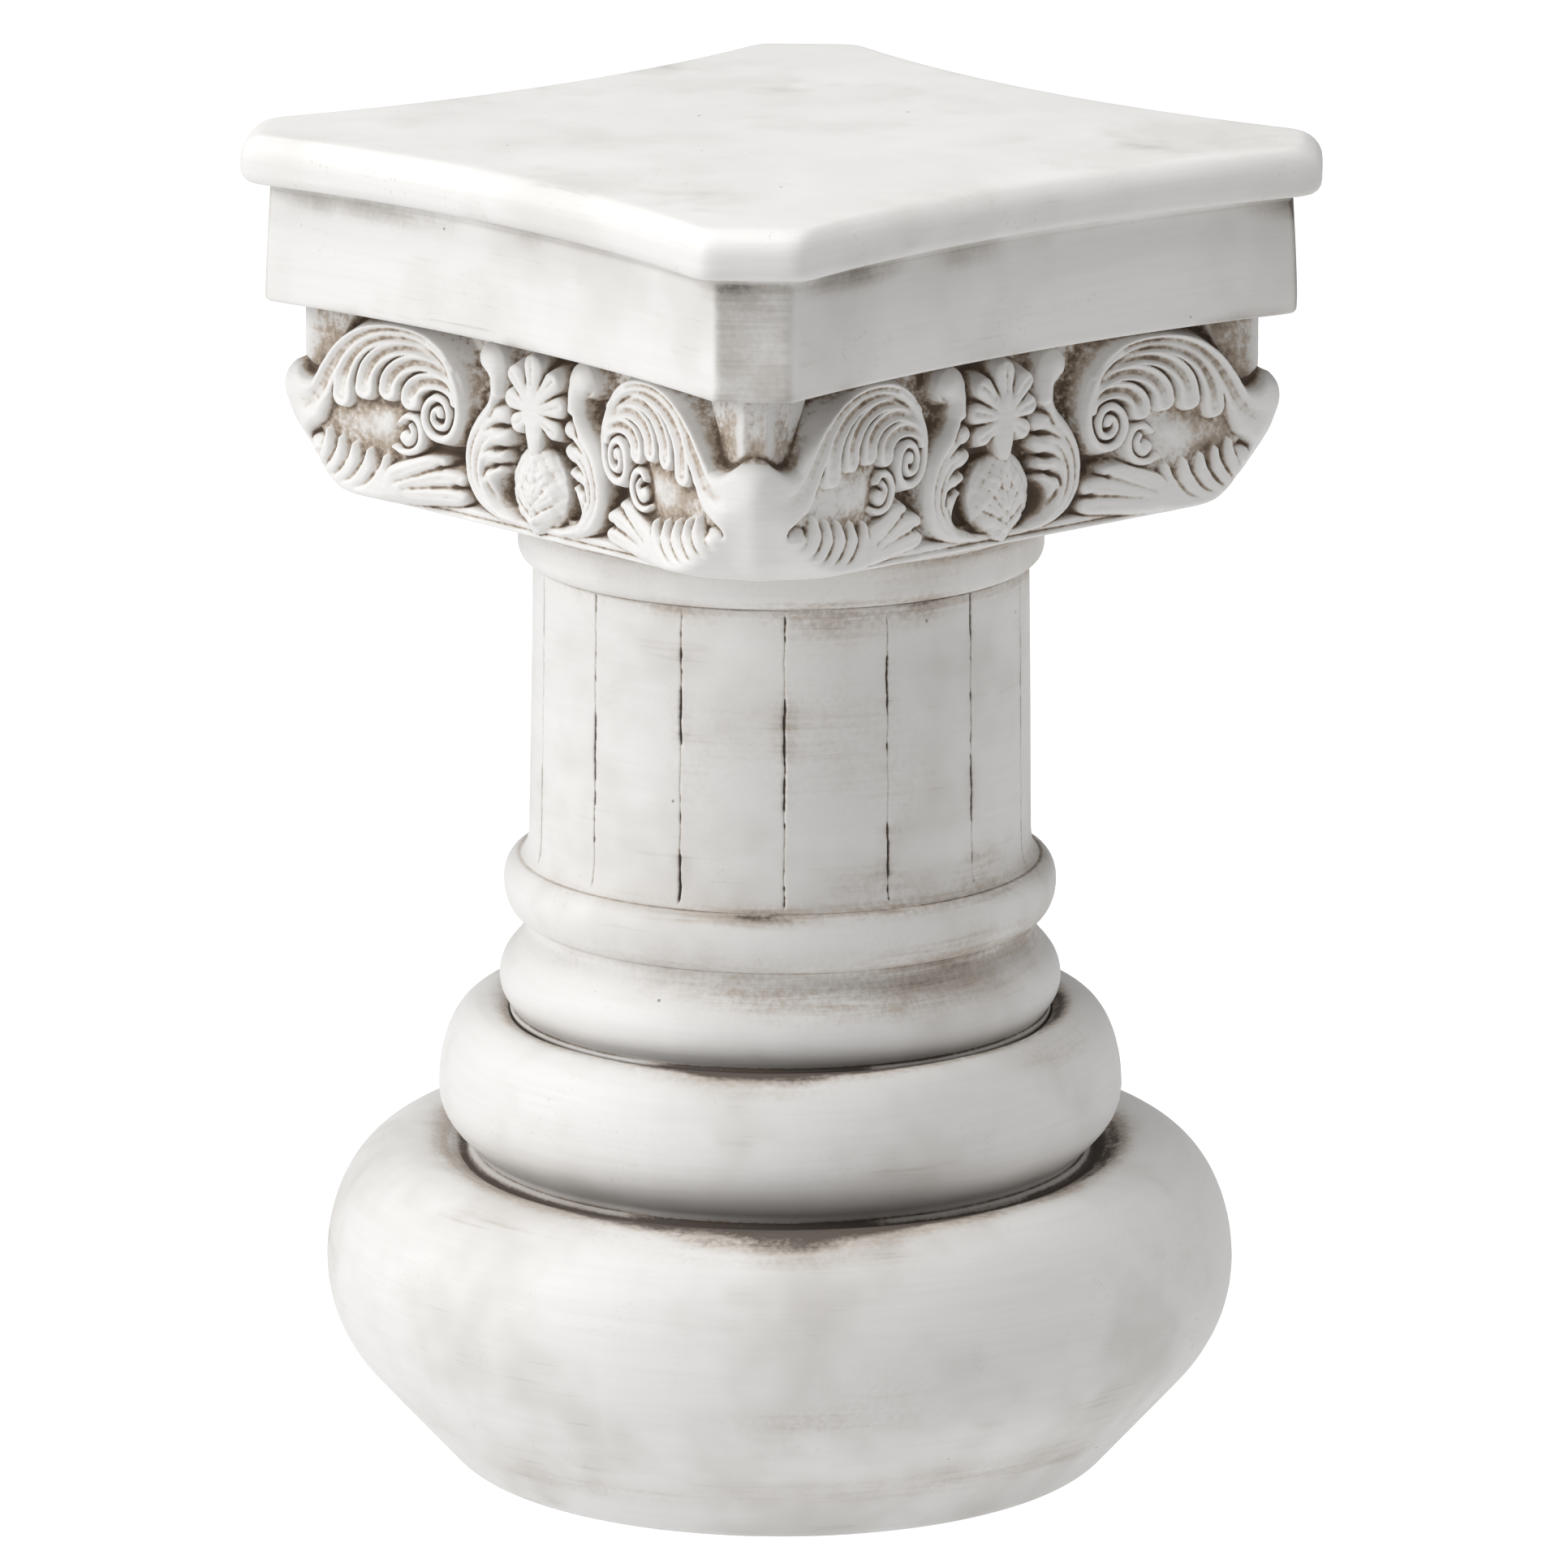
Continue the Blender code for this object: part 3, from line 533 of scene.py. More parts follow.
def slabOutline(shape, inset):
    # hollow sides and cut corners as one ring of points, rounded where a side meets a cut face
    sidePoints, cutPoints, quarterPoints = 400, 120, 1200
    corner, cut = shape["corner"] - inset, shape["cut"]
    middle = (shape["corner"] + cut) / math.sqrt(2) - shape["hollow"] - inset
    endU, endD = (corner - cut) / math.sqrt(2), (corner + cut) / math.sqrt(2)
    share = np.linspace(0, 1, sidePoints, endpoint=False)
    half = np.column_stack([endU * share, -(middle + (endD - middle) * share ** 2)])
    cutFace = np.linspace((endU, -endD), (endD, -endU), cutPoints, endpoint=False)
    sharp = np.vstack([half, cutFace, [(endD, -endU)], -half[:0:-1, ::-1]])
    run = np.concatenate([[0], np.cumsum(np.hypot(*np.diff(sharp, axis=0).T))])
    turns = run[sidePoints] / run[-1], run[sidePoints + cutPoints] / run[-1]
    even = np.linspace(0, run[-1], quarterPoints, endpoint=False)
    quarter = np.column_stack([np.interp(even, run, sharp[:, 0]), np.interp(even, run, sharp[:, 1])])
    turned90 = np.array([[0, 1], [-1, 0]])
    ring = np.vstack([quarter @ np.linalg.matrix_power(turned90, number) for number in range(4)])
    reach = int(shape["round"] * 0.75 / (run[-1] / quarterPoints))
    for _ in range(2):
        wrapped = np.vstack([ring[-reach:], ring, ring[:reach]])
        total = np.vstack([[(0, 0)], np.cumsum(wrapped, axis=0)])
        ring = (total[2 * reach + 1:] - total[:-2 * reach - 1]) / (2 * reach + 1)
    # few points along the sides, many round the corners
    edge = 0.02
    stops = (0, turns[0] - edge, turns[0] + edge, turns[1] - edge, turns[1] + edge, 1)
    spots = np.concatenate([np.linspace(low, high, count, endpoint=False)
                            for low, high, count in zip(stops, stops[1:], (44, 10, 10, 10, 44))])
    spots = np.concatenate([spots + number for number in range(4)]) * quarterPoints
    closed = np.vstack([ring, ring[:1]])
    return np.column_stack([np.interp(spots, np.arange(len(closed)), closed[:, axis]) for axis in (0, 1)])


def buildSlab():
    s = slab
    edge, top = s["fasciaEdge"], s["fasciaTop"]
    # inset and height from the soffit up the fascia
    fascia = [(inset, s["soffit"]) for inset in (0.030, 0.012, 0.004)]
    for turn in np.radians((90, 66, 42, 20, 0)):
        fascia.append((edge * (1 - math.cos(turn)), s["soffit"] + edge * (1 - math.sin(turn))))
    for share in np.linspace(0.08, 1, 16):
        fascia.append((s["fasciaFlare"] * share ** 1.3,
                       s["soffit"] + edge + (top - s["filletRound"] - s["soffit"] - edge) * share))
    fillet = len(fascia)
    rows = [(slabOutline(s["fascia"], inset), height) for inset, height in fascia]
    # small fillet from the fascia out under the rim
    upper, rimFoot = slabOutline(s["fascia"], s["fasciaFlare"]), slabOutline(s["rim"], s["rimFootRound"])
    for share in (0.25, 0.5, 0.75, 1.0):
        turn = share * math.pi / 2
        away = rimFoot - upper
        away *= ((1 - math.cos(turn)) * s["filletRound"] / np.maximum(np.hypot(*away.T), 1e-6))[:, None]
        rows.append((upper + away, top - s["filletRound"] * (1 - math.sin(turn))))
    last = rows[-1][0]
    rows += [(last + (rimFoot - last) * share, top) for share in (0.4, 0.8)]
    for turn in np.radians((-90, -66, -44, -22, 0)):
        rows.append((slabOutline(s["rim"], s["rimFootRound"] * (1 - math.cos(turn))),
                     top + s["rimFootRound"] * (1 + math.sin(turn))))
    for turn in np.radians((0, 14, 28, 42, 56, 70, 80, 90)):
        rows.append((slabOutline(s["rim"], s["rimTopRound"] * (1 - math.cos(turn))),
                     s["top"] - s["rimTopRound"] * (1 - math.sin(turn))))
    flat = rows[-1][0]
    rows += [(flat * share, s["top"]) for share in (0.97, 0.9, 0.75, 0.5, 0.25, 0.05, 0.0003)]
    points = np.vstack([np.column_stack([ring, np.full(len(flat), height)]) for ring, height in rows])
    height = points[:, 2].reshape(len(rows), -1)
    around = np.arctan2(points[:, 1], points[:, 0]).reshape(height.shape)
    number = np.arange(len(rows))[:, None]

    def band(washAndShade):
        strength, below, reach = s[washAndShade]
        return strength * mound(height - (top - below), reach)

    # smears under the rim come and go round the slab, and the cut faces get grey dirt and painted shade
    smear = softStep(wander(around, 2, 4.0), -0.2, 0.7)
    cavity = band("fasciaWash") * (number < fillet + 3)
    cavity += s["filletWash"] * ((number >= fillet + 2) & (number <= fillet + 5))
    cavity *= 0.55 + 0.45 * smear
    # painted shade under the rim and on the soffit
    hollow = np.maximum(band("underRimShade") * (number < fillet + 7), s["soffitShade"] * (number < 3))
    hollow += smear * band("smears") * (number < fillet + 3)
    fromCut = np.abs(math.pi / 4 - around % (math.pi / 2))
    hollow += s["cutFaceDirtAndShade"] * (1 - softStep(fromCut, 0.060, 0.082)) * (number < fillet)
    # flecks along the lower edge
    chips = softStep(wander(around, 5, 9.0), 0.0, 0.8)
    hollow += s["chips"] * chips * mound(height - s["soffit"] - 0.0005, 0.0022)
    material = antiquedPaint("slab_paint", scuffs=0.5, dragged=0.30, grain=0.20, stain=0.40,
                             beigeWash=(0.40, 0.365, 0.325))
    addRings("slab", len(rows), points, cavity, hollow, material, False)


carving = {
    # millimetres: across from the middle of a face, up from the capital's foot, depth from the axis
    "cell": 0.4, "soffit": 66.8, "across": (-1.2, 124.0), "up": (-7.6, 67.6), "depth": (60.0, 125.2),
    "trianglesPerHalf": 94000,
    # depth at the middle of a face, how much more the horns stand out, where that begins and over how far
    "front": (111.0, 12.0, 20.0, 80.0),
    # the horn on the corner's diagonal: height, distance from the axis
    "hornProfile": ((-8, 128), (0, 137), (1.2, 141), (2.8, 145), (4.2, 148.4), (6.5, 151.8), (9.5, 154.9),
                    (14.8, 158.4), (20, 161.8), (25.4, 165), (34, 168), (38, 168.1), (41.4, 167), (44, 164.6),
                    (46.2, 162), (70, 161.8)),
    "prow": 2.2, "prowWidth": 6.0, "neck": 89.0, "cove": 6.6, "slit": 3.4,
    # bell behind the leaves: depth in the middle, how much deeper 100 mm across
    "bell": (100.5, 5.5),
    # pillar under the slab's corner: where it begins, at which height, its lean; its depth, where, its lean
    "pillarEdge": (89.0, 65.0, 0.55), "pillarFace": (116.9, 111.5, 0.20), "pillarStep": 7.5,
    # across and depth together on the plain corner facet
    "facet": 227.9,
    # depth of the foot band, how far it falls back; its thin lip: depth, height, half its width
    "footBand": (108.0, 3.5), "footLip": (0.7, 2.1, 0.55),
    # ground under the scroll: how far it is sunk, its bulge, where the bulge is and how far it reaches
    "ground": 4.6, "bulge": 1.6, "bulgeAt": (72, 29), "bulgeReach": (12, 7),
    "voluteEye": (44.5, 34.6), "curlEye": (58.6, 27.2),
    # foot's edge: distance on a face, on the diagonal, blend between the two
    "footEdge": (107.8, 137.0, 9.0),
    # plaster left in the recesses: reach and blend; waver of the modeller's hand; how far distances are kept
    "plasterReach": 6, "plasterBlend": 1.6, "hand": (0.12, 0.10), "fieldReach": 4, "cornerBlur": 4,
    # wash: how shut in a point is near by; wash and painted shade by how shut in it is further round; painted
    # shade by how far it is sunk; wash on the plain corner facet
    "nearWash": 4.8, "wideWashAndShade": 4.4, "sunkShade": 1.25, "facetWash": 0.55, "pillarWiped": 0.40,
    # sunk from this far behind the front, fully so after as much more as the second says
    "sunkFrom": 0.8, "sunkOver": 8.0,
}

c = carving
acrossLine, upLine, depthLine = [np.arange(low, high + c["cell"] / 2, c["cell"])
                                 for low, high in (c["across"], c["up"], c["depth"])]
across, up = np.meshgrid(acrossLine, upLine, indexing="ij")
hornHeight, hornReach = np.array(c["hornProfile"], float).T


def frontDepth(u):
    middle, swell, start, run = c["front"]
    return middle + swell * softStep(u, start, start + run)


front = frontDepth(across)
farAway = 99.0


def alongStroke(nodes, steps=6, reach=4.0):
    # nodes: (across, up, half width, more...); distance to the line and its values at the nearest point
    points = smoothLine(nodes, steps) if steps > 1 else np.array(nodes, float)
    away, best = np.full(across.shape, farAway), np.full(across.shape, farAway)
    values = np.zeros(across.shape + (points.shape[1] - 2,))
    for a, b in zip(points, points[1:]):
        wide = max(a[2], b[2]) + reach
        i0, i1 = np.searchsorted(acrossLine, (min(a[0], b[0]) - wide, max(a[0], b[0]) + wide))
        j0, j1 = np.searchsorted(upLine, (min(a[1], b[1]) - wide, max(a[1], b[1]) + wide))
        if i1 <= i0 or j1 <= j0:
            continue
        here = np.s_[i0:i1, j0:j1]
        step = b[:2] - a[:2]
        share = ((across[here] - a[0]) * step[0] + (up[here] - a[1]) * step[1]) / max(step @ step, 1e-9)
        share = np.clip(share, 0, 1)
        distance = np.hypot(across[here] - a[0] - share * step[0], up[here] - a[1] - share * step[1])
        width = a[2] + (b[2] - a[2]) * share
        near = distance - width < best[here]
        best[here][near] = (distance - width)[near]
        away[here][near] = distance[near]
        for q in range(2, points.shape[1]):
            values[i0:i1, j0:j1, q - 2][near] = (a[q] + (b[q] - a[q]) * share)[near]
    return away, np.maximum(values[..., 0], 0.05), values[..., -1]


def raiseRidge(relief, nodes, top, fall, soft=0.6, steps=6, roundness=2.0, wall=3.2):
    # rounded ridge, its crown at the depth top, its edges lower by fall
    away, width, _ = alongStroke(nodes, steps)
    body = np.where(away <= width, top - fall * (away / width) ** roundness, top - fall - wall * (away - width))
    return np.where(away < farAway, softMax(relief, body, soft), relief)


def cutGroove(relief, nodes, depth, steps=6, shape=2.0):
    # nodes carry their half width and share of the depth
    away, width, share = alongStroke(nodes, steps)
    return relief - depth * share * mound(away, width, shape)


def cutVeins(relief, veins, width, depth, begin, change):
    # grooves that deepen or run out from node to node
    for vein in veins:
        relief = cutGroove(relief, [(u, h, width, begin + change * i) for i, (u, h) in enumerate(vein)], depth)
    return relief


def insideOutline(nodes, steps=5):
    # signed distance to a smooth closed outline, positive inside
    nodes = np.array(nodes, float)
    ring = smoothLine(np.vstack([nodes[-2:], nodes, nodes[:2]]), steps)[2 * steps:-2 * steps]
    away = np.full(across.shape, farAway)
    inside = np.zeros(across.shape, bool)
    for a, b in zip(ring, np.roll(ring, -1, 0)):
        step = b - a
        share = np.clip(((across - a[0]) * step[0] + (up - a[1]) * step[1]) / max(step @ step, 1e-9), 0, 1)
        away = np.minimum(away, np.hypot(across - a[0] - share * step[0], up - a[1] - share * step[1]))
        if b[1] != a[1]:
            inside ^= ((a[1] > up) != (b[1] > up)) & (across < step[0] * (up - a[1]) / step[1] + a[0])
    return np.where(inside, away, -away)


def raiseSheet(relief, distance, top, edge, fall, soft=0.6, wall=3.0):
    # flat form with a rounded edge of the given width
    body = top - fall * (1 - np.clip(distance / edge, 0, 1)) ** 2 - wall * np.clip(-distance, 0, 30)
    return softMax(relief, body, soft)


def addBell(relief):
    bell = c["bell"][0] + c["bell"][1] * (across / 100) ** 2
    begins, height, lean = c["pillarEdge"]
    edge = begins + (height - up) * lean
    depth, place, lean = c["pillarFace"]
    facet = softMin(depth - (place - across) * lean, c["facet"] - across, 0.6)
    pillar = facet - c["pillarStep"] * softStep(edge - across, -0.4, 3.0)
    relief = softMax(relief, np.where(across > edge - 5, softMax(bell, pillar, 1.0), bell), 0.1)
    # foot band with its thin lip
    band, fallsBack = c["footBand"]
    lip, lipHeight, lipHalf = c["footLip"]
    foot = band - fallsBack * softStep(up, 4.2, 6.2) - lip * mound(up - lipHeight, lipHalf)
    return softMax(relief, np.where(up < 8, foot, 0.0), 0.8)


def addField(relief):
    # dished ground under the arch of the scroll
    (u, h), (reachU, reachH) = c["bulgeAt"], c["bulgeReach"]
    bulge = c["bulge"] * np.exp(-((across - u) / reachU) ** 2 - ((up - h) / reachH) ** 2)
    ground = front - c["ground"] + bulge + 0.5 * softStep(across, 80, 100)
    distance = insideOutline(((50, 33), (54, 20), (62, 15), (80, 14), (98, 18), (104, 30), (98, 42), (85, 50),
                              (70, 52), (56, 46)), 4)
    return raiseSheet(relief, distance, ground, 3.0, 3.0, 1.0, 2.4)


fingers = (
    # tip's centre, crown, half widths at root, crown and tip
    {"end": (57.4, 39.4), "crown": 46.6, "widths": (1.5, 2.6, 3.5)},
    {"end": (66.6, 41.6), "crown": 52.3, "widths": (1.4, 2.5, 3.5)},
    {"end": (76.4, 41.0), "crown": 56.7, "widths": (1.3, 2.1, 3.6)},
    {"end": (86.4, 37.6), "crown": 59.8, "widths": (1.2, 1.8, 3.9)},
)


def fingerLine(finger, root=(38.6, 40.5), steps=14):
    (endU, endH), crown = finger["end"], finger["crown"]
    share = np.linspace(0, 1, steps)
    turn = math.pi * (1 - share)
    u = (root[0] + endU) / 2 + (endU - root[0]) / 2 * np.cos(turn)
    low = root[1] + (endH - root[1]) * share
    h = low + (crown - low) * np.sin(turn) ** 0.92
    width = np.interp(share, (0, 0.5, 1), finger["widths"])
    return np.column_stack([u, h, width, softStep(share, 0.10, 0.42)])


bandLine = ((40.5, 51.5, 1.8, 0.0), (45.5, 56.9, 1.8, 0.25), (52.5, 60.6, 1.8, 0.7), (61.5, 62.0, 1.9, 1.0),
            (71.5, 61.2, 2.2, 1.0), (80.0, 57.8, 2.7, 1.0), (87.0, 52.0, 3.3, 1.0), (92.2, 45.2, 3.8, 1.0),
            (96.4, 38.6, 4.4, 0.9), (101.5, 33.4, 4.6, 0.6), (108.0, 31.5, 4.2, 0.35), (114.0, 32.5, 3.4, 0.1))


def addHorn(relief):
    # mass of the horn with its saddle and blunt raised nose
    distance = insideOutline(((89.4, 43.5), (87.6, 49.5), (90.0, 53.2), (94.2, 47.6), (98.0, 42.6),
                              (101.4, 40.4), (104.8, 40.0), (107.8, 40.8), (110.4, 42.8), (113.0, 44.2),
                              (126, 44.6), (132, 30), (132, -6), (108, -2), (92, 3.5), (78, 3.4), (66, 3.8),
                              (62, 6.5), (66, 9.5), (80, 9.0), (92, 12.0), (97.0, 15.5), (103.5, 18.0),
                              (104.6, 22.0), (100.4, 25.2), (96.8, 27.6), (94.2, 32.0), (91.4, 38.0)))
    low = 2.2 * (1 - softStep(across, 62, 92)) * (1 - softStep(up, 6, 16))
    return raiseSheet(relief, distance, front - 0.1 - low, 2.6, 1.6, 0.7)


def addScroll(relief):
    # each finger is a trough between thin rims
    for finger in reversed(fingers):
        relief = raiseRidge(relief, fingerLine(finger), front, 0.7, 0.4, roundness=5.0)
    relief = raiseRidge(relief, [node[:3] for node in bandLine[:9]], front, 0.75, 0.6, roundness=5.0)
    for finger in fingers:
        nodes = fingerLine(finger)
        nodes[:, 2] *= 0.62
        nodes[-2:, 3] = 0.8, 0.45
        relief = cutGroove(relief, nodes, 2.2, shape=3.0)
    channel = [(u, h, wide * 0.60, share) for u, h, wide, share in bandLine]
    return cutGroove(relief, channel, 2.2, shape=2.8)


def addVolute(relief):
    # thin ribbon wound in on a sunk ground, coming down from the scroll's outer rim
    u, h = c["voluteEye"]
    relief = raiseRidge(relief, ((u, h, 7.2), (u + 0.2, h, 7.2)), front - 3.4, 0.6, 0.4, 1)
    back = ((50.0, 59.6, 1.4), (44.6, 56.0, 1.9), (40.6, 51.6, 2.2), (38.2, 46.0, 2.2), (37.2, 40.4, 2.0))
    relief = raiseRidge(relief, back, front - 0.4, 1.4, 0.5)
    ribbon = ((42.0, 54.0, 0.8), (39.4, 49.6, 1.0), (37.6, 44.8, 1.2), (37.0, 39.8, 1.35), (37.6, 33.8, 1.4),
              (40.2, 29.2, 1.4), (44.6, 27.4, 1.4), (49.0, 29.0, 1.4), (51.2, 33.4, 1.35), (50.2, 38.6, 1.3),
              (46.6, 41.3, 1.25), (42.8, 40.2, 1.2), (41.0, 36.4, 1.15), (42.0, 32.4, 1.1), (45.2, 31.4, 1.05),
              (47.5, 33.8, 1.0), (46.8, 37.0, 1.0), (44.6, 37.4, 1.2))
    ribbon = [(u, h, 0.86 * wide) for u, h, wide in ribbon]
    relief = raiseRidge(relief, ribbon, front + 0.3, 0.7, 0.3, roundness=3.0, wall=3.0)
    return raiseRidge(relief, ((44.6, 36.6, 1.5), (44.7, 36.2, 1.5)), front + 0.2, 0.8, 0.3, 1)


def addCurl(relief):
    # small open curl under the volute, with its comma inside
    u, h = c["curlEye"]
    relief = cutGroove(relief, ((u, h, 6.6, 1.0), (u + 0.2, h, 6.6, 1.0)), 1.2, 1, shape=4.0)
    ribbon = ((65.0, 22.4, 0.5), (61.0, 21.0, 0.9), (56.6, 21.8, 1.1), (53.8, 25.0, 1.2), (53.6, 29.4, 1.2),
              (56.0, 32.8, 1.1), (59.6, 33.2, 1.0), (62.2, 31.2, 0.7))
    relief = raiseRidge(relief, ribbon, front - 1.0, 0.7, 0.4, roundness=3.0)
    comma = ((60.6, 25.8, 2.2), (59.4, 25.2, 2.3), (57.6, 26.2, 1.5), (57.0, 28.4, 1.0), (58.2, 30.2, 0.8))
    return raiseRidge(relief, comma, front - 1.2, 1.0, 0.4)


def addTallLeaf(relief):
    distance = insideOutline(((23.6, 46.5), (25.6, 42.3), (29.2, 38.2), (32.6, 33.4), (34.8, 27.5),
                              (35.4, 21.0), (34.2, 14.6), (30.6, 9.0), (25.4, 5.2), (18.5, 3.4), (10.0, 3.4),
                              (12.5, 5.2), (18.0, 7.6), (21.0, 11.5), (21.4, 15.5), (19.6, 18.8), (18.2, 20.4),
                              (20.5, 21.4), (23.0, 21.4), (19.6, 23.0), (16.8, 24.6), (17.2, 26.6),
                              (20.6, 27.6), (16.8, 29.4), (14.4, 31.8), (15.0, 34.2), (18.6, 35.6),
                              (15.6, 36.8), (13.8, 39.2), (14.8, 42.0), (18.0, 43.8), (16.8, 47.0),
                              (16.0, 51.0), (16.6, 55.0), (21.0, 55.5), (23.8, 51.0)))
    relief = raiseSheet(relief, distance, front + 0.3, 4.0, 3.2, 0.6)
    head = ((19.2, 47.0, 2.6), (19.6, 51.0, 3.2), (21.2, 55.2, 4.9), (22.7, 57.0, 5.8), (23.0, 57.1, 5.8))
    relief = raiseRidge(relief, head, front + 0.5, 3.0, 0.8)
    relief = cutGroove(relief, ((29.0, 57.5, 0.8, 0.2), (28.0, 54.4, 1.0, 0.8), (25.6, 52.8, 1.0, 0.9),
                                (24.6, 50.8, 0.7, 0.3)), 1.6)
    flutes = (((20.0, 5.6), (26.5, 9.4), (30.8, 15.5), (31.6, 22.5), (29.8, 29.5), (25.4, 35.5), (20.4, 39.0),
               (16.2, 39.8)),
              ((19.2, 6.8), (24.6, 10.6), (28.2, 16.0), (28.6, 22.0), (26.2, 28.0), (21.6, 32.0), (16.6, 32.6)),
              ((18.6, 8.0), (23.0, 12.0), (25.6, 17.0), (25.4, 21.6), (22.6, 25.2), (18.6, 25.4)),
              ((21.6, 11.0), (23.8, 14.6), (23.6, 18.4), (20.4, 20.4)))
    for flute in flutes:
        # deepest a little before the middle of its length
        run = [min(i / (len(flute) - 1) + 0.12, 0.9) for i in range(len(flute))]
        nodes = [(u, h, 1.05, 0.2 + 0.8 * math.sin(math.pi * share)) for (u, h), share in zip(flute, run)]
        relief = np.where(distance > -0.5, cutGroove(relief, nodes, 1.05), relief)
    clefts = (((17.6, 35.6), (21.0, 35.2), (24.6, 33.4)), ((19.6, 27.7), (23.2, 27.2), (25.8, 25.2)),
              ((22.0, 21.5), (25.0, 20.0), (26.4, 17.4)), ((17.0, 44.0), (20.0, 42.0), (22.0, 39.0)))
    return cutVeins(relief, clefts, 1.0, 2.6, 1, -0.36)


def addPalmette(relief):
    # seven rounded lobes spread from a plain middle
    middle = 44
    for u, h, wide in ((0.0, 58.6, 4.1), (9.0, 54.4, 3.5), (11.3, 46.2, 3.3), (8.8, 38.4, 3.3)):
        lobe = ((u * 0.25, middle + (h - middle) * 0.25, 2.6),
                (u * 0.7, middle + (h - middle) * 0.7, wide * 0.86), (u, h, wide))
        relief = raiseRidge(relief, lobe, front + 0.5 + 0.05 * (up - middle), 1.5, 0.3, 4, roundness=2.6)
    relief = raiseRidge(relief, ((0.0, 32.0, 3.0), (0.0, 38.0, 4.2), (0.0, 44.0, 5.0), (0.0, 50.0, 4.2)),
                        front + 0.7, 1.2, 0.5, roundness=2.6)
    veins = (((0.0, 53.0), (0.0, 57.0), (0.0, 61.0)), ((5.4, 51.0), (7.8, 53.2), (10.4, 55.4)),
             ((6.6, 45.0), (9.6, 46.0), (12.8, 47.0)), ((5.2, 40.4), (7.4, 39.0), (10.0, 37.8)))
    return cutVeins(relief, veins, 0.9, 0.8, 0.6, 0.2)


def addBud(relief):
    # egg with a sprig of leaves laid on it
    middle, halfHeight, halfWidth = 17.3, 15.7, 13.8
    along = (up - middle) / halfHeight
    half = halfWidth * np.sqrt(np.clip(1 - along ** 2, 0, 1)) * (1 - 0.14 * softStep(up, 18, 34))
    share = across / np.maximum(half, 0.3)
    boss = front + 0.6 - 4.6 * np.clip(share, 0, 1.2) ** 2 - 1.6 * along ** 2
    boss = np.where(share < 1, boss, boss - 6 * np.clip(across - half, 0, 20) - 1.0)
    boss = boss + 0.3 * wander(across * 1.3 + up, 3, 0.55) + 0.25 * wander(up - across * 0.6, 2, 0.8)
    relief = softMax(relief, np.where(np.abs(up - middle) < halfHeight, boss, 0), 0.8)
    sprig = (((0.0, 6.0, 1.0), (0.0, 18.0, 1.5), (0.0, 26.5, 1.6)),
             ((0.5, 14.0, 0.9), (3.4, 19.0, 1.5), (5.6, 22.6, 2.1)),
             ((0.5, 9.5, 0.9), (4.4, 13.0, 1.5), (8.0, 15.6, 2.1)),
             ((0.5, 6.4, 0.9), (4.4, 8.4, 1.4), (7.6, 9.2, 1.8)))
    for leaf in sprig:
        away, width, _ = alongStroke(leaf, 5)
        relief = relief + 0.7 * softStep(width - away, -1.0, 0.9)
    veins = (((0.0, 6.0), (0.0, 16.0), (0.0, 27.0)), ((0.6, 14.0), (3.4, 19.4), (5.8, 23.0)),
             ((0.6, 9.6), (4.4, 13.2), (8.2, 15.8)))
    return cutVeins(relief, veins, 0.6, 0.35, 1, -0.3)


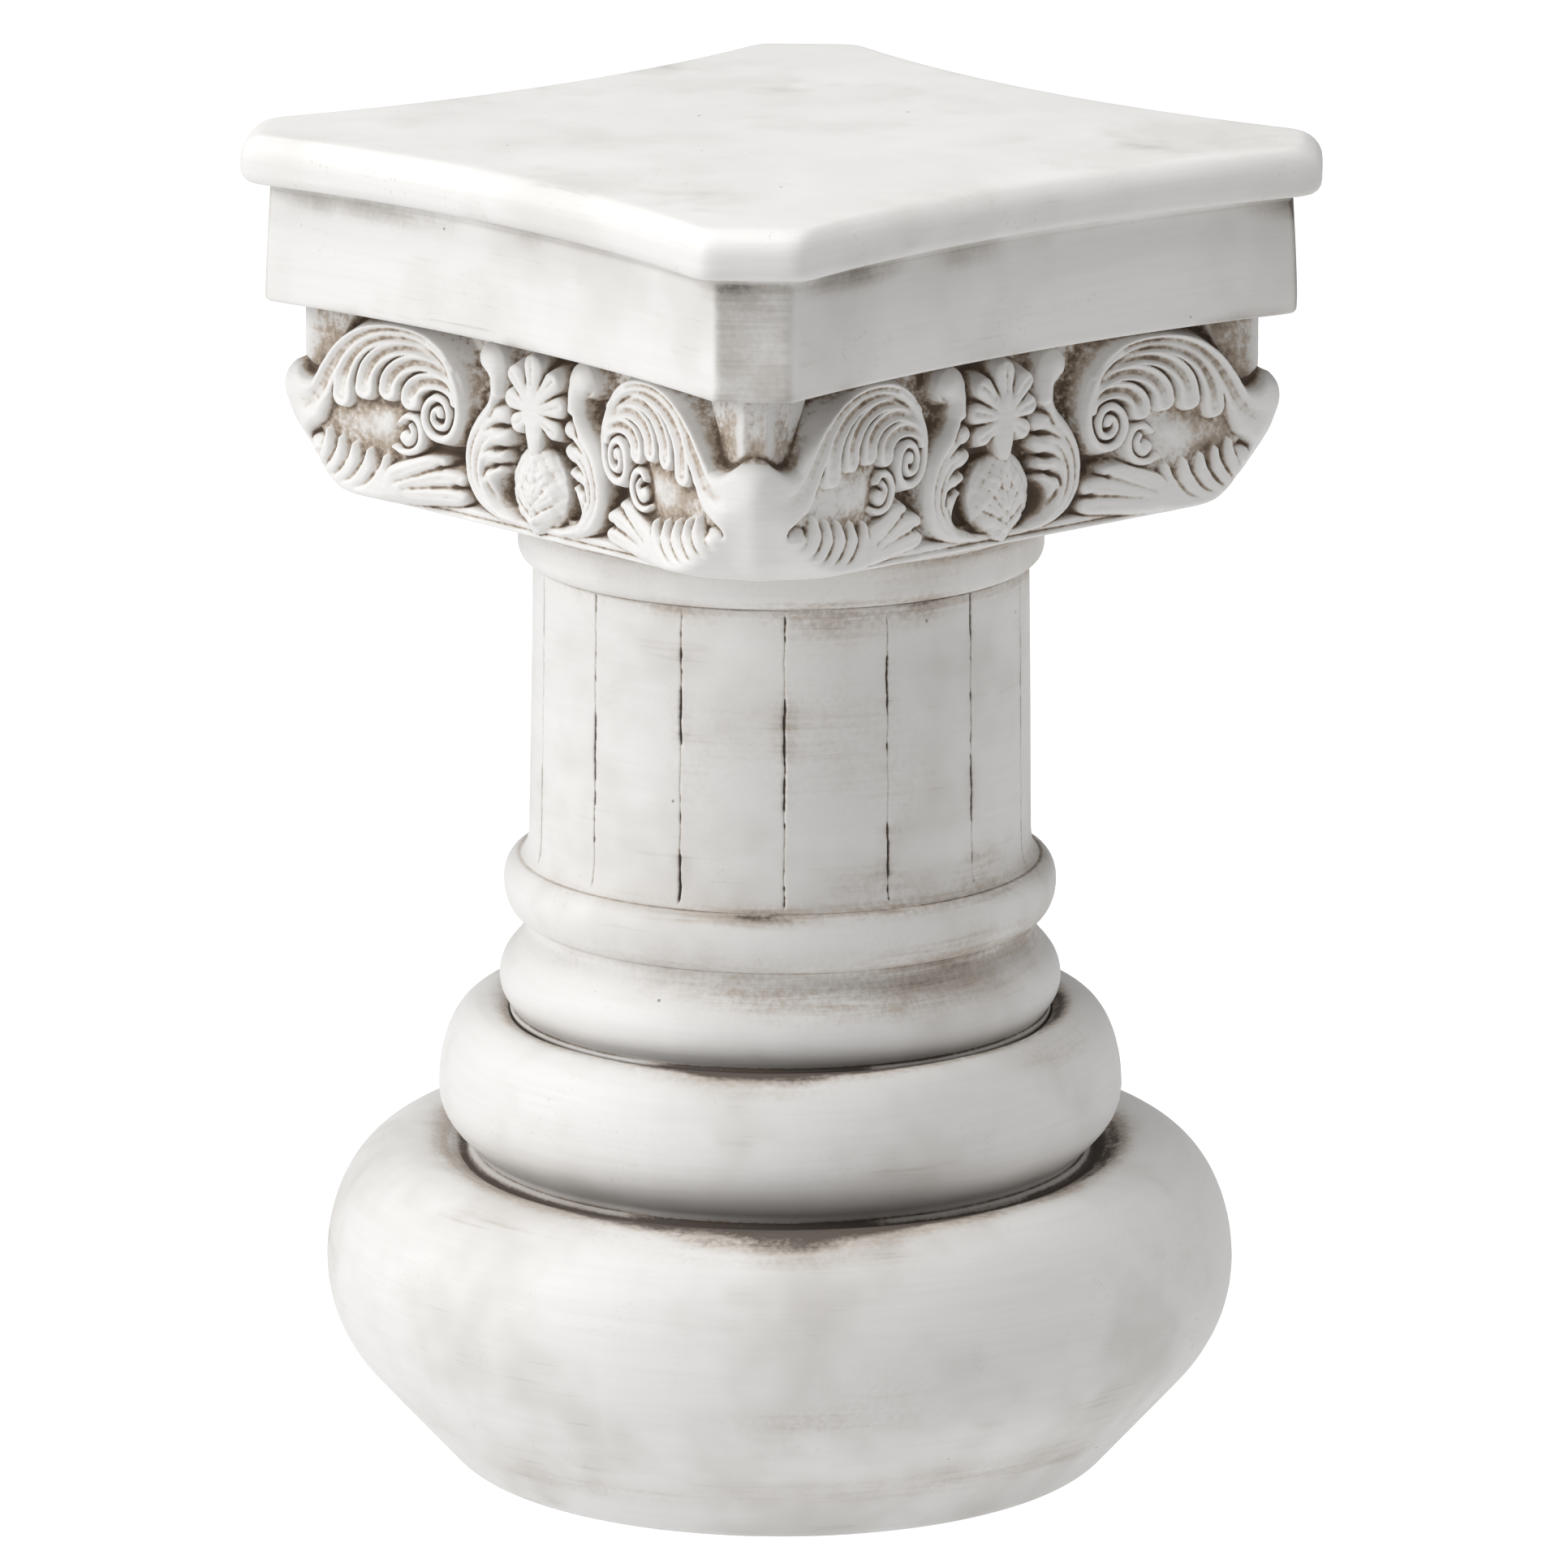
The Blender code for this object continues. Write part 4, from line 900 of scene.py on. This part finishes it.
def addLowLeaf(relief):
    lowered = front - 1.6 * (1 - softStep(across, 40, 66))
    spine = ((46.0, 9.0, 1.8), (54.0, 9.6, 2.6), (62.0, 8.4, 3.0), (72.0, 7.6, 3.4), (84.0, 8.6, 3.8),
             (94.0, 12.0, 4.4), (100.0, 17.0, 4.6))
    relief = raiseRidge(relief, spine, lowered - 0.8, 1.8, 1.0)
    tip = insideOutline(((67.5, 14.5), (60.0, 18.0), (52.0, 20.6), (46.0, 20.6), (44.5, 18.9), (46.5, 17.0),
                         (41.0, 16.5), (37.0, 15.0), (37.2, 12.7), (40.2, 11.3), (36.5, 9.2), (36.5, 6.8),
                         (40.0, 5.2), (50.0, 4.6), (66.0, 4.4), (70.0, 9.0)))
    relief = raiseSheet(relief, tip, lowered + 0.3, 2.8, 1.6, 0.4)
    partings = ((46.8, 17.1), (54.0, 14.3), (63.0, 10.8)), ((40.2, 11.3), (49.0, 10.3), (60.0, 8.6))
    relief = cutVeins(relief, partings, 1.15, 1.5, 1, -0.3)
    veins = (((46.0, 19.2), (54.0, 17.2), (64.0, 12.6)), ((38.6, 14.2), (48.0, 13.2), (59.0, 10.2)),
             ((38.0, 7.8), (48.0, 7.4), (60.0, 6.6)))
    relief = cutVeins(relief, veins, 1.0, 0.65, 0.9, -0.25)
    # comb of leaflets along the horn's lower edge: one sheet with a ragged top, parted by curved grooves
    comb = insideOutline(((60.0, 5.5), (62.5, 10.0), (66.0, 13.4), (67.4, 17.6), (68.8, 18.8), (70.0, 16.4),
                          (71.8, 14.4), (74.0, 17.4), (75.6, 20.2), (76.8, 17.6), (78.4, 15.4), (80.4, 18.6),
                          (82.2, 21.4), (83.2, 18.8), (84.8, 16.4), (86.4, 19.6), (88.2, 22.8), (89.0, 20.0),
                          (90.6, 17.8), (92.0, 21.0), (94.0, 25.0), (95.0, 21.8), (97.4, 19.4), (104.0, 18.0),
                          (110.0, 10.0), (104.0, 3.5), (84.0, 3.6), (68.0, 3.8)), 4)
    relief = raiseSheet(relief, comb, front - 0.1, 2.0, 1.5, 0.4)
    for u, h in ((71.8, 14.4), (78.4, 15.4), (84.8, 16.4), (90.6, 17.8), (96.6, 19.2)):
        parting = ((u, h + 1.2, 1.15, 1.0), (u + 1.2, h - 2.2, 1.15, 1.0), (u + 4.2, h - 5.6, 1.0, 0.7),
                   (u + 8.4, h - 7.8, 0.9, 0.2))
        relief = cutGroove(relief, parting, 1.6)
    return cutGroove(relief, ((99.4, 21.0, 2.6, 1.0), (100.6, 21.4, 2.6, 0.9)), 1.2, 1)


def buildRelief():
    relief = np.full(across.shape, c["depth"][0])
    for step in (addBell, addField, addHorn, addScroll, addVolute, addCurl, addLowLeaf, addBud, addPalmette,
                 addTallLeaf):
        relief = step(relief)
    # ragged joint where the horn's nose meets the bell
    joint = ((98.6, 44.6, 0.9, 0.5), (102.0, 42.4, 1.0, 1.0), (105.0, 42.0, 1.0, 1.0), (108.4, 43.4, 1.0, 1.0),
             (112.0, 46.0, 0.9, 0.9), (120.0, 46.8, 0.9, 0.7))
    relief = cutGroove(relief, joint, 1.8)
    # plaster left in the narrow places, so that no recess is a slit
    filled = boxBlur(boxBlur(relief, c["plasterReach"], 0), c["plasterReach"], 1)
    relief = softMax(relief, filled - c["slit"], c["plasterBlend"])
    # modeller's hand
    one, other = c["hand"]
    return relief + one * wander(across + 0.7 * up, 1, 0.35) + other * wander(up - 0.5 * across, 5, 0.5)


def buildField(relief):
    # distance outside the carved form, negative within it
    slopeU, slopeH = np.gradient(relief, c["cell"])
    steep = np.sqrt(1 + slopeU ** 2 + slopeH ** 2)
    outU, upH, outD = acrossLine[:, None, None], upLine[None, :, None], depthLine[None, None, :]
    reach, blur = c["fieldReach"], c["cornerBlur"]
    field = np.clip((outD - relief[..., None]) / steep[..., None], -reach, reach).astype(np.float32)
    corner = np.interp(upLine, hornHeight, hornReach)
    evenly = np.ones(2 * blur + 1) / (2 * blur + 1)
    corner = np.convolve(np.pad(corner, blur, mode="edge"), evenly, "valid")
    lean = np.sqrt(1 + np.gradient(corner, c["cell"]) ** 2)
    # the corner's edge is a blunt prow
    prow = c["prow"] * (1 - mound((outD - outU) / math.sqrt(2), c["prowWidth"])) * (1 - softStep(upH, 43, 46))
    limit = ((outU + outD) / math.sqrt(2) + prow - corner[None, :, None]) / lean[None, :, None]
    field = softMax(field, np.clip(limit, -1.5 * reach, reach).astype(np.float32), 3.5)
    # underside: a cove from the neck out to the foot's edge
    around = np.hypot(acrossLine[:, None], depthLine[None, :])
    angle = np.arctan2(np.abs(acrossLine)[:, None], depthLine[None, :])
    angle = np.minimum(angle, math.pi / 2 - angle)
    onFace, onDiagonal, blend = c["footEdge"]
    edge = softMin(onFace / np.cos(angle), onDiagonal / np.cos(math.pi / 4 - angle), blend)
    share = np.clip((around - c["neck"]) / (edge - c["neck"]), 0, 1)
    under = np.where(around < c["neck"] - 0.8, -40.0, -c["cove"] * (1 - share) ** 2)
    below = (under[:, None, :] - upH) * 0.85
    field = softMax(field, np.clip(below, -reach, reach).astype(np.float32), 1.2)
    # beyond the diagonal the neighbouring face takes over
    shift = int(round((c["depth"][0] - c["across"][0]) / c["cell"]))
    size = min(len(acrossLine) - shift, len(depthLine))
    block = field[shift:shift + size, :, :size]
    beyond = np.arange(size)[:, None] > np.arange(size)[None, :]
    block[:] = np.where(beyond[:, None, :], np.swapaxes(block, 0, 2), block)
    return field


def surfaceNet(field, origin, cell):
    # one point in each cell that the surface crosses, one quad for each crossed grid edge
    inside = field < 0
    shape = np.array(field.shape) - 1
    corners = [(i, j, k) for i in (0, 1) for j in (0, 1) for k in (0, 1)]
    count = np.zeros(shape, np.uint8)
    for i, j, k in corners:
        count += inside[i:shape[0] + i, j:shape[1] + j, k:shape[2] + k]
    cells = np.argwhere((count > 0) & (count < len(corners)))
    number = np.full(shape, -1, np.int32)
    number[tuple(cells.T)] = np.arange(len(cells))
    total, hits = np.zeros((len(cells), 3)), np.zeros(len(cells))
    value = {corner: field[tuple((cells + corner).T)].astype(float) for corner in corners}
    for a in corners:
        for axis in (axis for axis in range(3) if not a[axis]):
            b = tuple(1 if n == axis else a[n] for n in range(3))
            crossed = (value[a] < 0) != (value[b] < 0)
            share = np.where(crossed, value[a] / np.where(crossed, value[a] - value[b], 1), 0)
            point = np.array(a, float)[None, :] + share[:, None] * (np.array(b) - a)
            total += np.where(crossed[:, None], point, 0)
            hits += crossed
    points = np.array(origin) + cell * (cells + total / hits[:, None])
    quads = []
    for axis in range(3):
        others = [n for n in range(3) if n != axis]
        starts = inside.take(np.arange(shape[axis]), axis)
        ends = inside.take(np.arange(shape[axis]) + 1, axis)
        edges = np.argwhere(starts != ends)
        edges = edges[((edges[:, others] > 0) & (edges[:, others] < shape[others])).all(1)]
        ring = []
        for steps in ((-1, -1), (0, -1), (0, 0), (-1, 0)):
            beside = edges.copy()
            beside[:, others] += steps
            ring.append(number[tuple(beside.T)])
        quad = np.stack(ring, -1)
        leaving = starts[tuple(edges.T)]
        flip = leaving if axis != 1 else ~leaving
        quad[~flip] = quad[~flip][:, ::-1]
        quads.append(quad)
    return points, np.vstack(quads)


def sampled(field, points, origin, cell):
    # value of the field between its grid points
    place = np.clip((points - np.array(origin)) / cell, 0, np.array(field.shape) - 1.001)
    low = place.astype(int)
    share = place - low
    total = np.zeros(len(points))
    for corner in ((i, j, k) for i in (0, 1) for j in (0, 1) for k in (0, 1)):
        weight = np.abs(1 - np.array(corner) - share).prod(1)
        total += weight * field[tuple((low + corner).T)]
    return total


def thinned(points, quads, triangles):
    # half a face with fewer triangles, cut on the face's middle and on the corner's diagonal
    mesh = bpy.data.meshes.new("half_face")
    mesh.from_pydata(points.tolist(), [], quads.tolist())
    holder = placed("half_face", mesh)
    holder.modifiers.new("thin", "DECIMATE").ratio = min(1.0, triangles / (2.0 * len(quads)))
    graph = bpy.context.evaluated_depsgraph_get()
    solid = bmesh.new()
    solid.from_mesh(holder.evaluated_get(graph).to_mesh())
    bpy.data.objects.remove(holder, do_unlink=True)
    for normal in ((-1, 0, 0), (1, 0, -1)):
        bmesh.ops.bisect_plane(solid, geom=solid.verts[:] + solid.edges[:] + solid.faces[:], plane_co=(0, 0, 0),
                               plane_no=Vector(normal).normalized(), clear_outer=True, dist=1e-5)
    bmesh.ops.triangulate(solid, faces=solid.faces[:])
    bmesh.ops.delete(solid, geom=[vert for vert in solid.verts if not vert.link_faces], context="VERTS")
    solid.verts.index_update()
    verts = np.array([vert.co[:] for vert in solid.verts])
    faces = np.array([[vert.index for vert in face.verts] for face in solid.faces])
    solid.free()
    bpy.data.meshes.remove(mesh)
    # two faces on the same three points are a fold without thickness
    _, which, uses = np.unique(np.sort(faces, axis=1), axis=0, return_inverse=True, return_counts=True)
    return verts, faces[uses[which.ravel()] == 1]


def shutIn(field, points, origin):
    # how shut in each point is, near by and further round
    cell, mirror = c["cell"], 24
    filled = np.clip(0.5 - field / cell, 0, 1).astype(np.float32)
    filled[:, upLine > c["soffit"], :] = 1.0
    overNeck = np.hypot(acrossLine[:, None], depthLine[None, :]) < c["neck"] + 0.2
    filled[:, upLine < 0, :] = np.maximum(filled[:, upLine < 0, :], overNeck[:, None, :])
    begin = int(round(-c["across"][0] / cell))
    whole = np.concatenate([filled[begin + 1:begin + mirror + 1][::-1], filled[begin:]])
    start = (origin[0] + (begin - mirror) * cell, origin[1], origin[2])
    masks = []
    for reach in (2, 6):
        blurred = whole
        for axis in range(3):
            blurred = boxBlur(blurred, reach, axis)
        masks.append(sampled(blurred, points, start, cell) - 0.5)
    return masks


def capitalWashAndShade(field, verts, origin):
    near, wide = shutIn(field, verts, origin)
    u, h, d = verts.T
    envelope = np.minimum(frontDepth(u), math.sqrt(2) * np.interp(h, hornHeight, hornReach) - u)
    # painted shade: the further a point lies behind the front, the darker
    sunk = np.clip((envelope - c["sunkFrom"] - d) / c["sunkOver"], 0, 1) * softStep(h, 4.0, 9.0)
    # the pillar under the slab's corner is washed thinner, the horn's nose is kept free of the painted shade
    pillar = softStep(u, 84, 92) * softStep(h, 42, 46)
    nose = softStep(u, 90, 100) * (1 - softStep(h, 40, 44))
    facet = c["facetWash"] * pillar * (1 - softStep(np.abs(d - u), 5.0, 7.0))
    hollow = wide * c["wideWashAndShade"] + sunk * c["sunkShade"] * (1 - nose)
    return near * c["nearWash"], hollow * (1 - c["pillarWiped"] * pillar) + facet


def straightenSeams(piece, across, onSeam, spin):
    # shade straight over the seams: there the normal lies in the mirror plane
    normals = np.zeros(len(across) * 3, np.float32)
    piece.data.vertex_normals.foreach_get("vector", normals)
    normals = normals.reshape(-1, 3)
    plane = np.column_stack([np.sign(across), np.ones(len(across)), np.zeros(len(across))]) / math.sqrt(2)
    plane = plane @ spin.T
    leaving = (normals * plane).sum(1, keepdims=True)
    normals = np.where(onSeam[:, None], normals - leaving * plane, normals)
    normals /= np.maximum(np.linalg.norm(normals, axis=1, keepdims=True), 1e-9)
    piece.data.normals_split_custom_set_from_vertices(normals.tolist())


def buildCapital():
    field = buildField(buildRelief())
    origin = (c["across"][0], c["up"][0], c["depth"][0])
    verts, faces = thinned(*surfaceNet(field, origin, c["cell"]), c["trianglesPerHalf"])
    cavity, hollow = capitalWashAndShade(field, verts, origin)
    print("carving: half a face has", len(faces), "triangles")
    # the other half is the mirror image, sharing the middle line
    middle = verts[:, 0] < 1e-4
    verts[middle, 0] = 0.0
    partner = np.arange(len(verts))
    partner[~middle] = len(verts) + np.arange((~middle).sum())
    verts = np.vstack([verts, verts[~middle] * (-1, 1, 1)])
    faces = np.vstack([faces, partner[faces][:, ::-1]])
    cavity, hollow = np.concatenate([cavity, cavity[~middle]]), np.concatenate([hollow, hollow[~middle]])
    world = np.column_stack([verts[:, 0], -verts[:, 2], verts[:, 1]]) * 0.001
    world[:, 2] += turned["capitalFoot"]
    onSeam = np.abs(np.abs(verts[:, 0]) - verts[:, 2]) < 1e-3
    material = antiquedPaint("carved_paint", scuffs=0.1, drag=0.10, dragged=0.15, stain=0.15, grain=0.9,
                             pits=0.5, fineness=1.7, fringe=0.92, deep=0.88, beigeWash=(0.42, 0.335, 0.255),
                             brownWash=(0.14, 0.10, 0.072))
    for number, side in enumerate(("front", "right", "back", "left")):
        turn = number * math.pi / 2
        spin = np.array([[math.cos(turn), -math.sin(turn), 0], [math.sin(turn), math.cos(turn), 0], [0, 0, 1]])
        piece = addPiece("capital_" + side, world @ spin.T, faces, cavity, hollow, material)
        straightenSeams(piece, verts[:, 0], onSeam, spin)
    print("capital built,", len(faces), "triangles a face")


studio = {
    # paper that shows white behind the piece and gives soft light back
    "floorSize": 12.0, "floorColour": (0.35, 0.35, 0.35), "floorShown": 0.96, "floorGlow": 0.56,
    "air": (1.0, 0.992, 0.98), "airStrength": 0.22,
    # to the left of the camera, towards it, up; size and watts
    "key": ((2.83, 0.95, 1.6), 1.8, 60.0), "overhead": ((0.2, 0.45, 2.58), 1.8, 42.0),
    "edge": ((-2.9, -0.7, 1.3), 1.8, 9.0), "lampAim": 0.25,
    "cameraDistance": 3.868, "cameraElevation": 13.55, "cameraAzimuth": 48.0, "lookHeight": 0.2348,
    "lens": 260.9, "aimRight": 0.0012, "roll": 0.12,
}


def buildStudio():
    s = studio
    half = s["floorSize"] / 2
    mesh = bpy.data.meshes.new("studio_floor")
    mesh.from_pydata([(-half, -half, 0), (half, -half, 0), (half, half, 0), (-half, half, 0)], [],
                     [(0, 1, 2, 3)])
    material = bpy.data.materials.new("studio_paper")
    material.use_nodes = True
    tree = material.node_tree
    shader = tree.nodes["Principled BSDF"].inputs
    shader["Base Color"].default_value = (*s["floorColour"], 1)
    shader["Roughness"].default_value = 0.9
    seen = addNode(tree, "LightPath").outputs["Is Camera Ray"]
    glow = addNode(tree, "MapRange", {"Value": seen, "To Min": s["floorGlow"], "To Max": s["floorShown"]})
    tree.links.new(glow.outputs["Result"], shader["Emission Color"])
    shader["Emission Strength"].default_value = 1.0
    mesh.materials.append(material)
    floor = placed("studio_floor", mesh)
    floor.location.z = -0.0003

    world = bpy.data.worlds.new("studio")
    world.use_nodes = True
    air = world.node_tree.nodes["Background"].inputs
    air["Color"].default_value = (*s["air"], 1)
    air["Strength"].default_value = s["airStrength"]
    bpy.context.scene.world = world

    azimuth, elevation = math.radians(s["cameraAzimuth"]), math.radians(s["cameraElevation"])
    toward = Vector((math.sin(azimuth), -math.cos(azimuth), 0))
    right = Vector((math.cos(azimuth), math.sin(azimuth), 0))
    for name in ("key", "overhead", "edge"):
        (left, near, high), size, watts = s[name]
        light = bpy.data.lights.new(name, "AREA")
        light.energy, light.size = watts, size
        lamp = placed(name, light)
        lamp.location = toward * near - right * left + Vector((0, 0, high))
        lamp.rotation_euler = (Vector((0, 0, s["lampAim"])) - lamp.location).to_track_quat("-Z", "Y").to_euler()

    back = toward * math.cos(elevation) + Vector((0, 0, math.sin(elevation)))
    lens = bpy.data.cameras.new("camera")
    lens.lens, lens.sensor_width, lens.clip_end = s["lens"], 36.0, 50.0
    camera = placed("camera", lens)
    camera.location = Vector((0, 0, s["lookHeight"])) + right * s["aimRight"] + back * s["cameraDistance"]
    camera.rotation_euler = (-back).to_track_quat("-Z", "Y").to_euler()
    camera.rotation_euler.rotate_axis("Z", math.radians(s["roll"]))
    bpy.context.scene.camera = camera
    bpy.context.scene.view_settings.view_transform = "Standard"
    print("studio ready")


buildTurnedBody()
buildSlab()
buildCapital()
buildStudio()
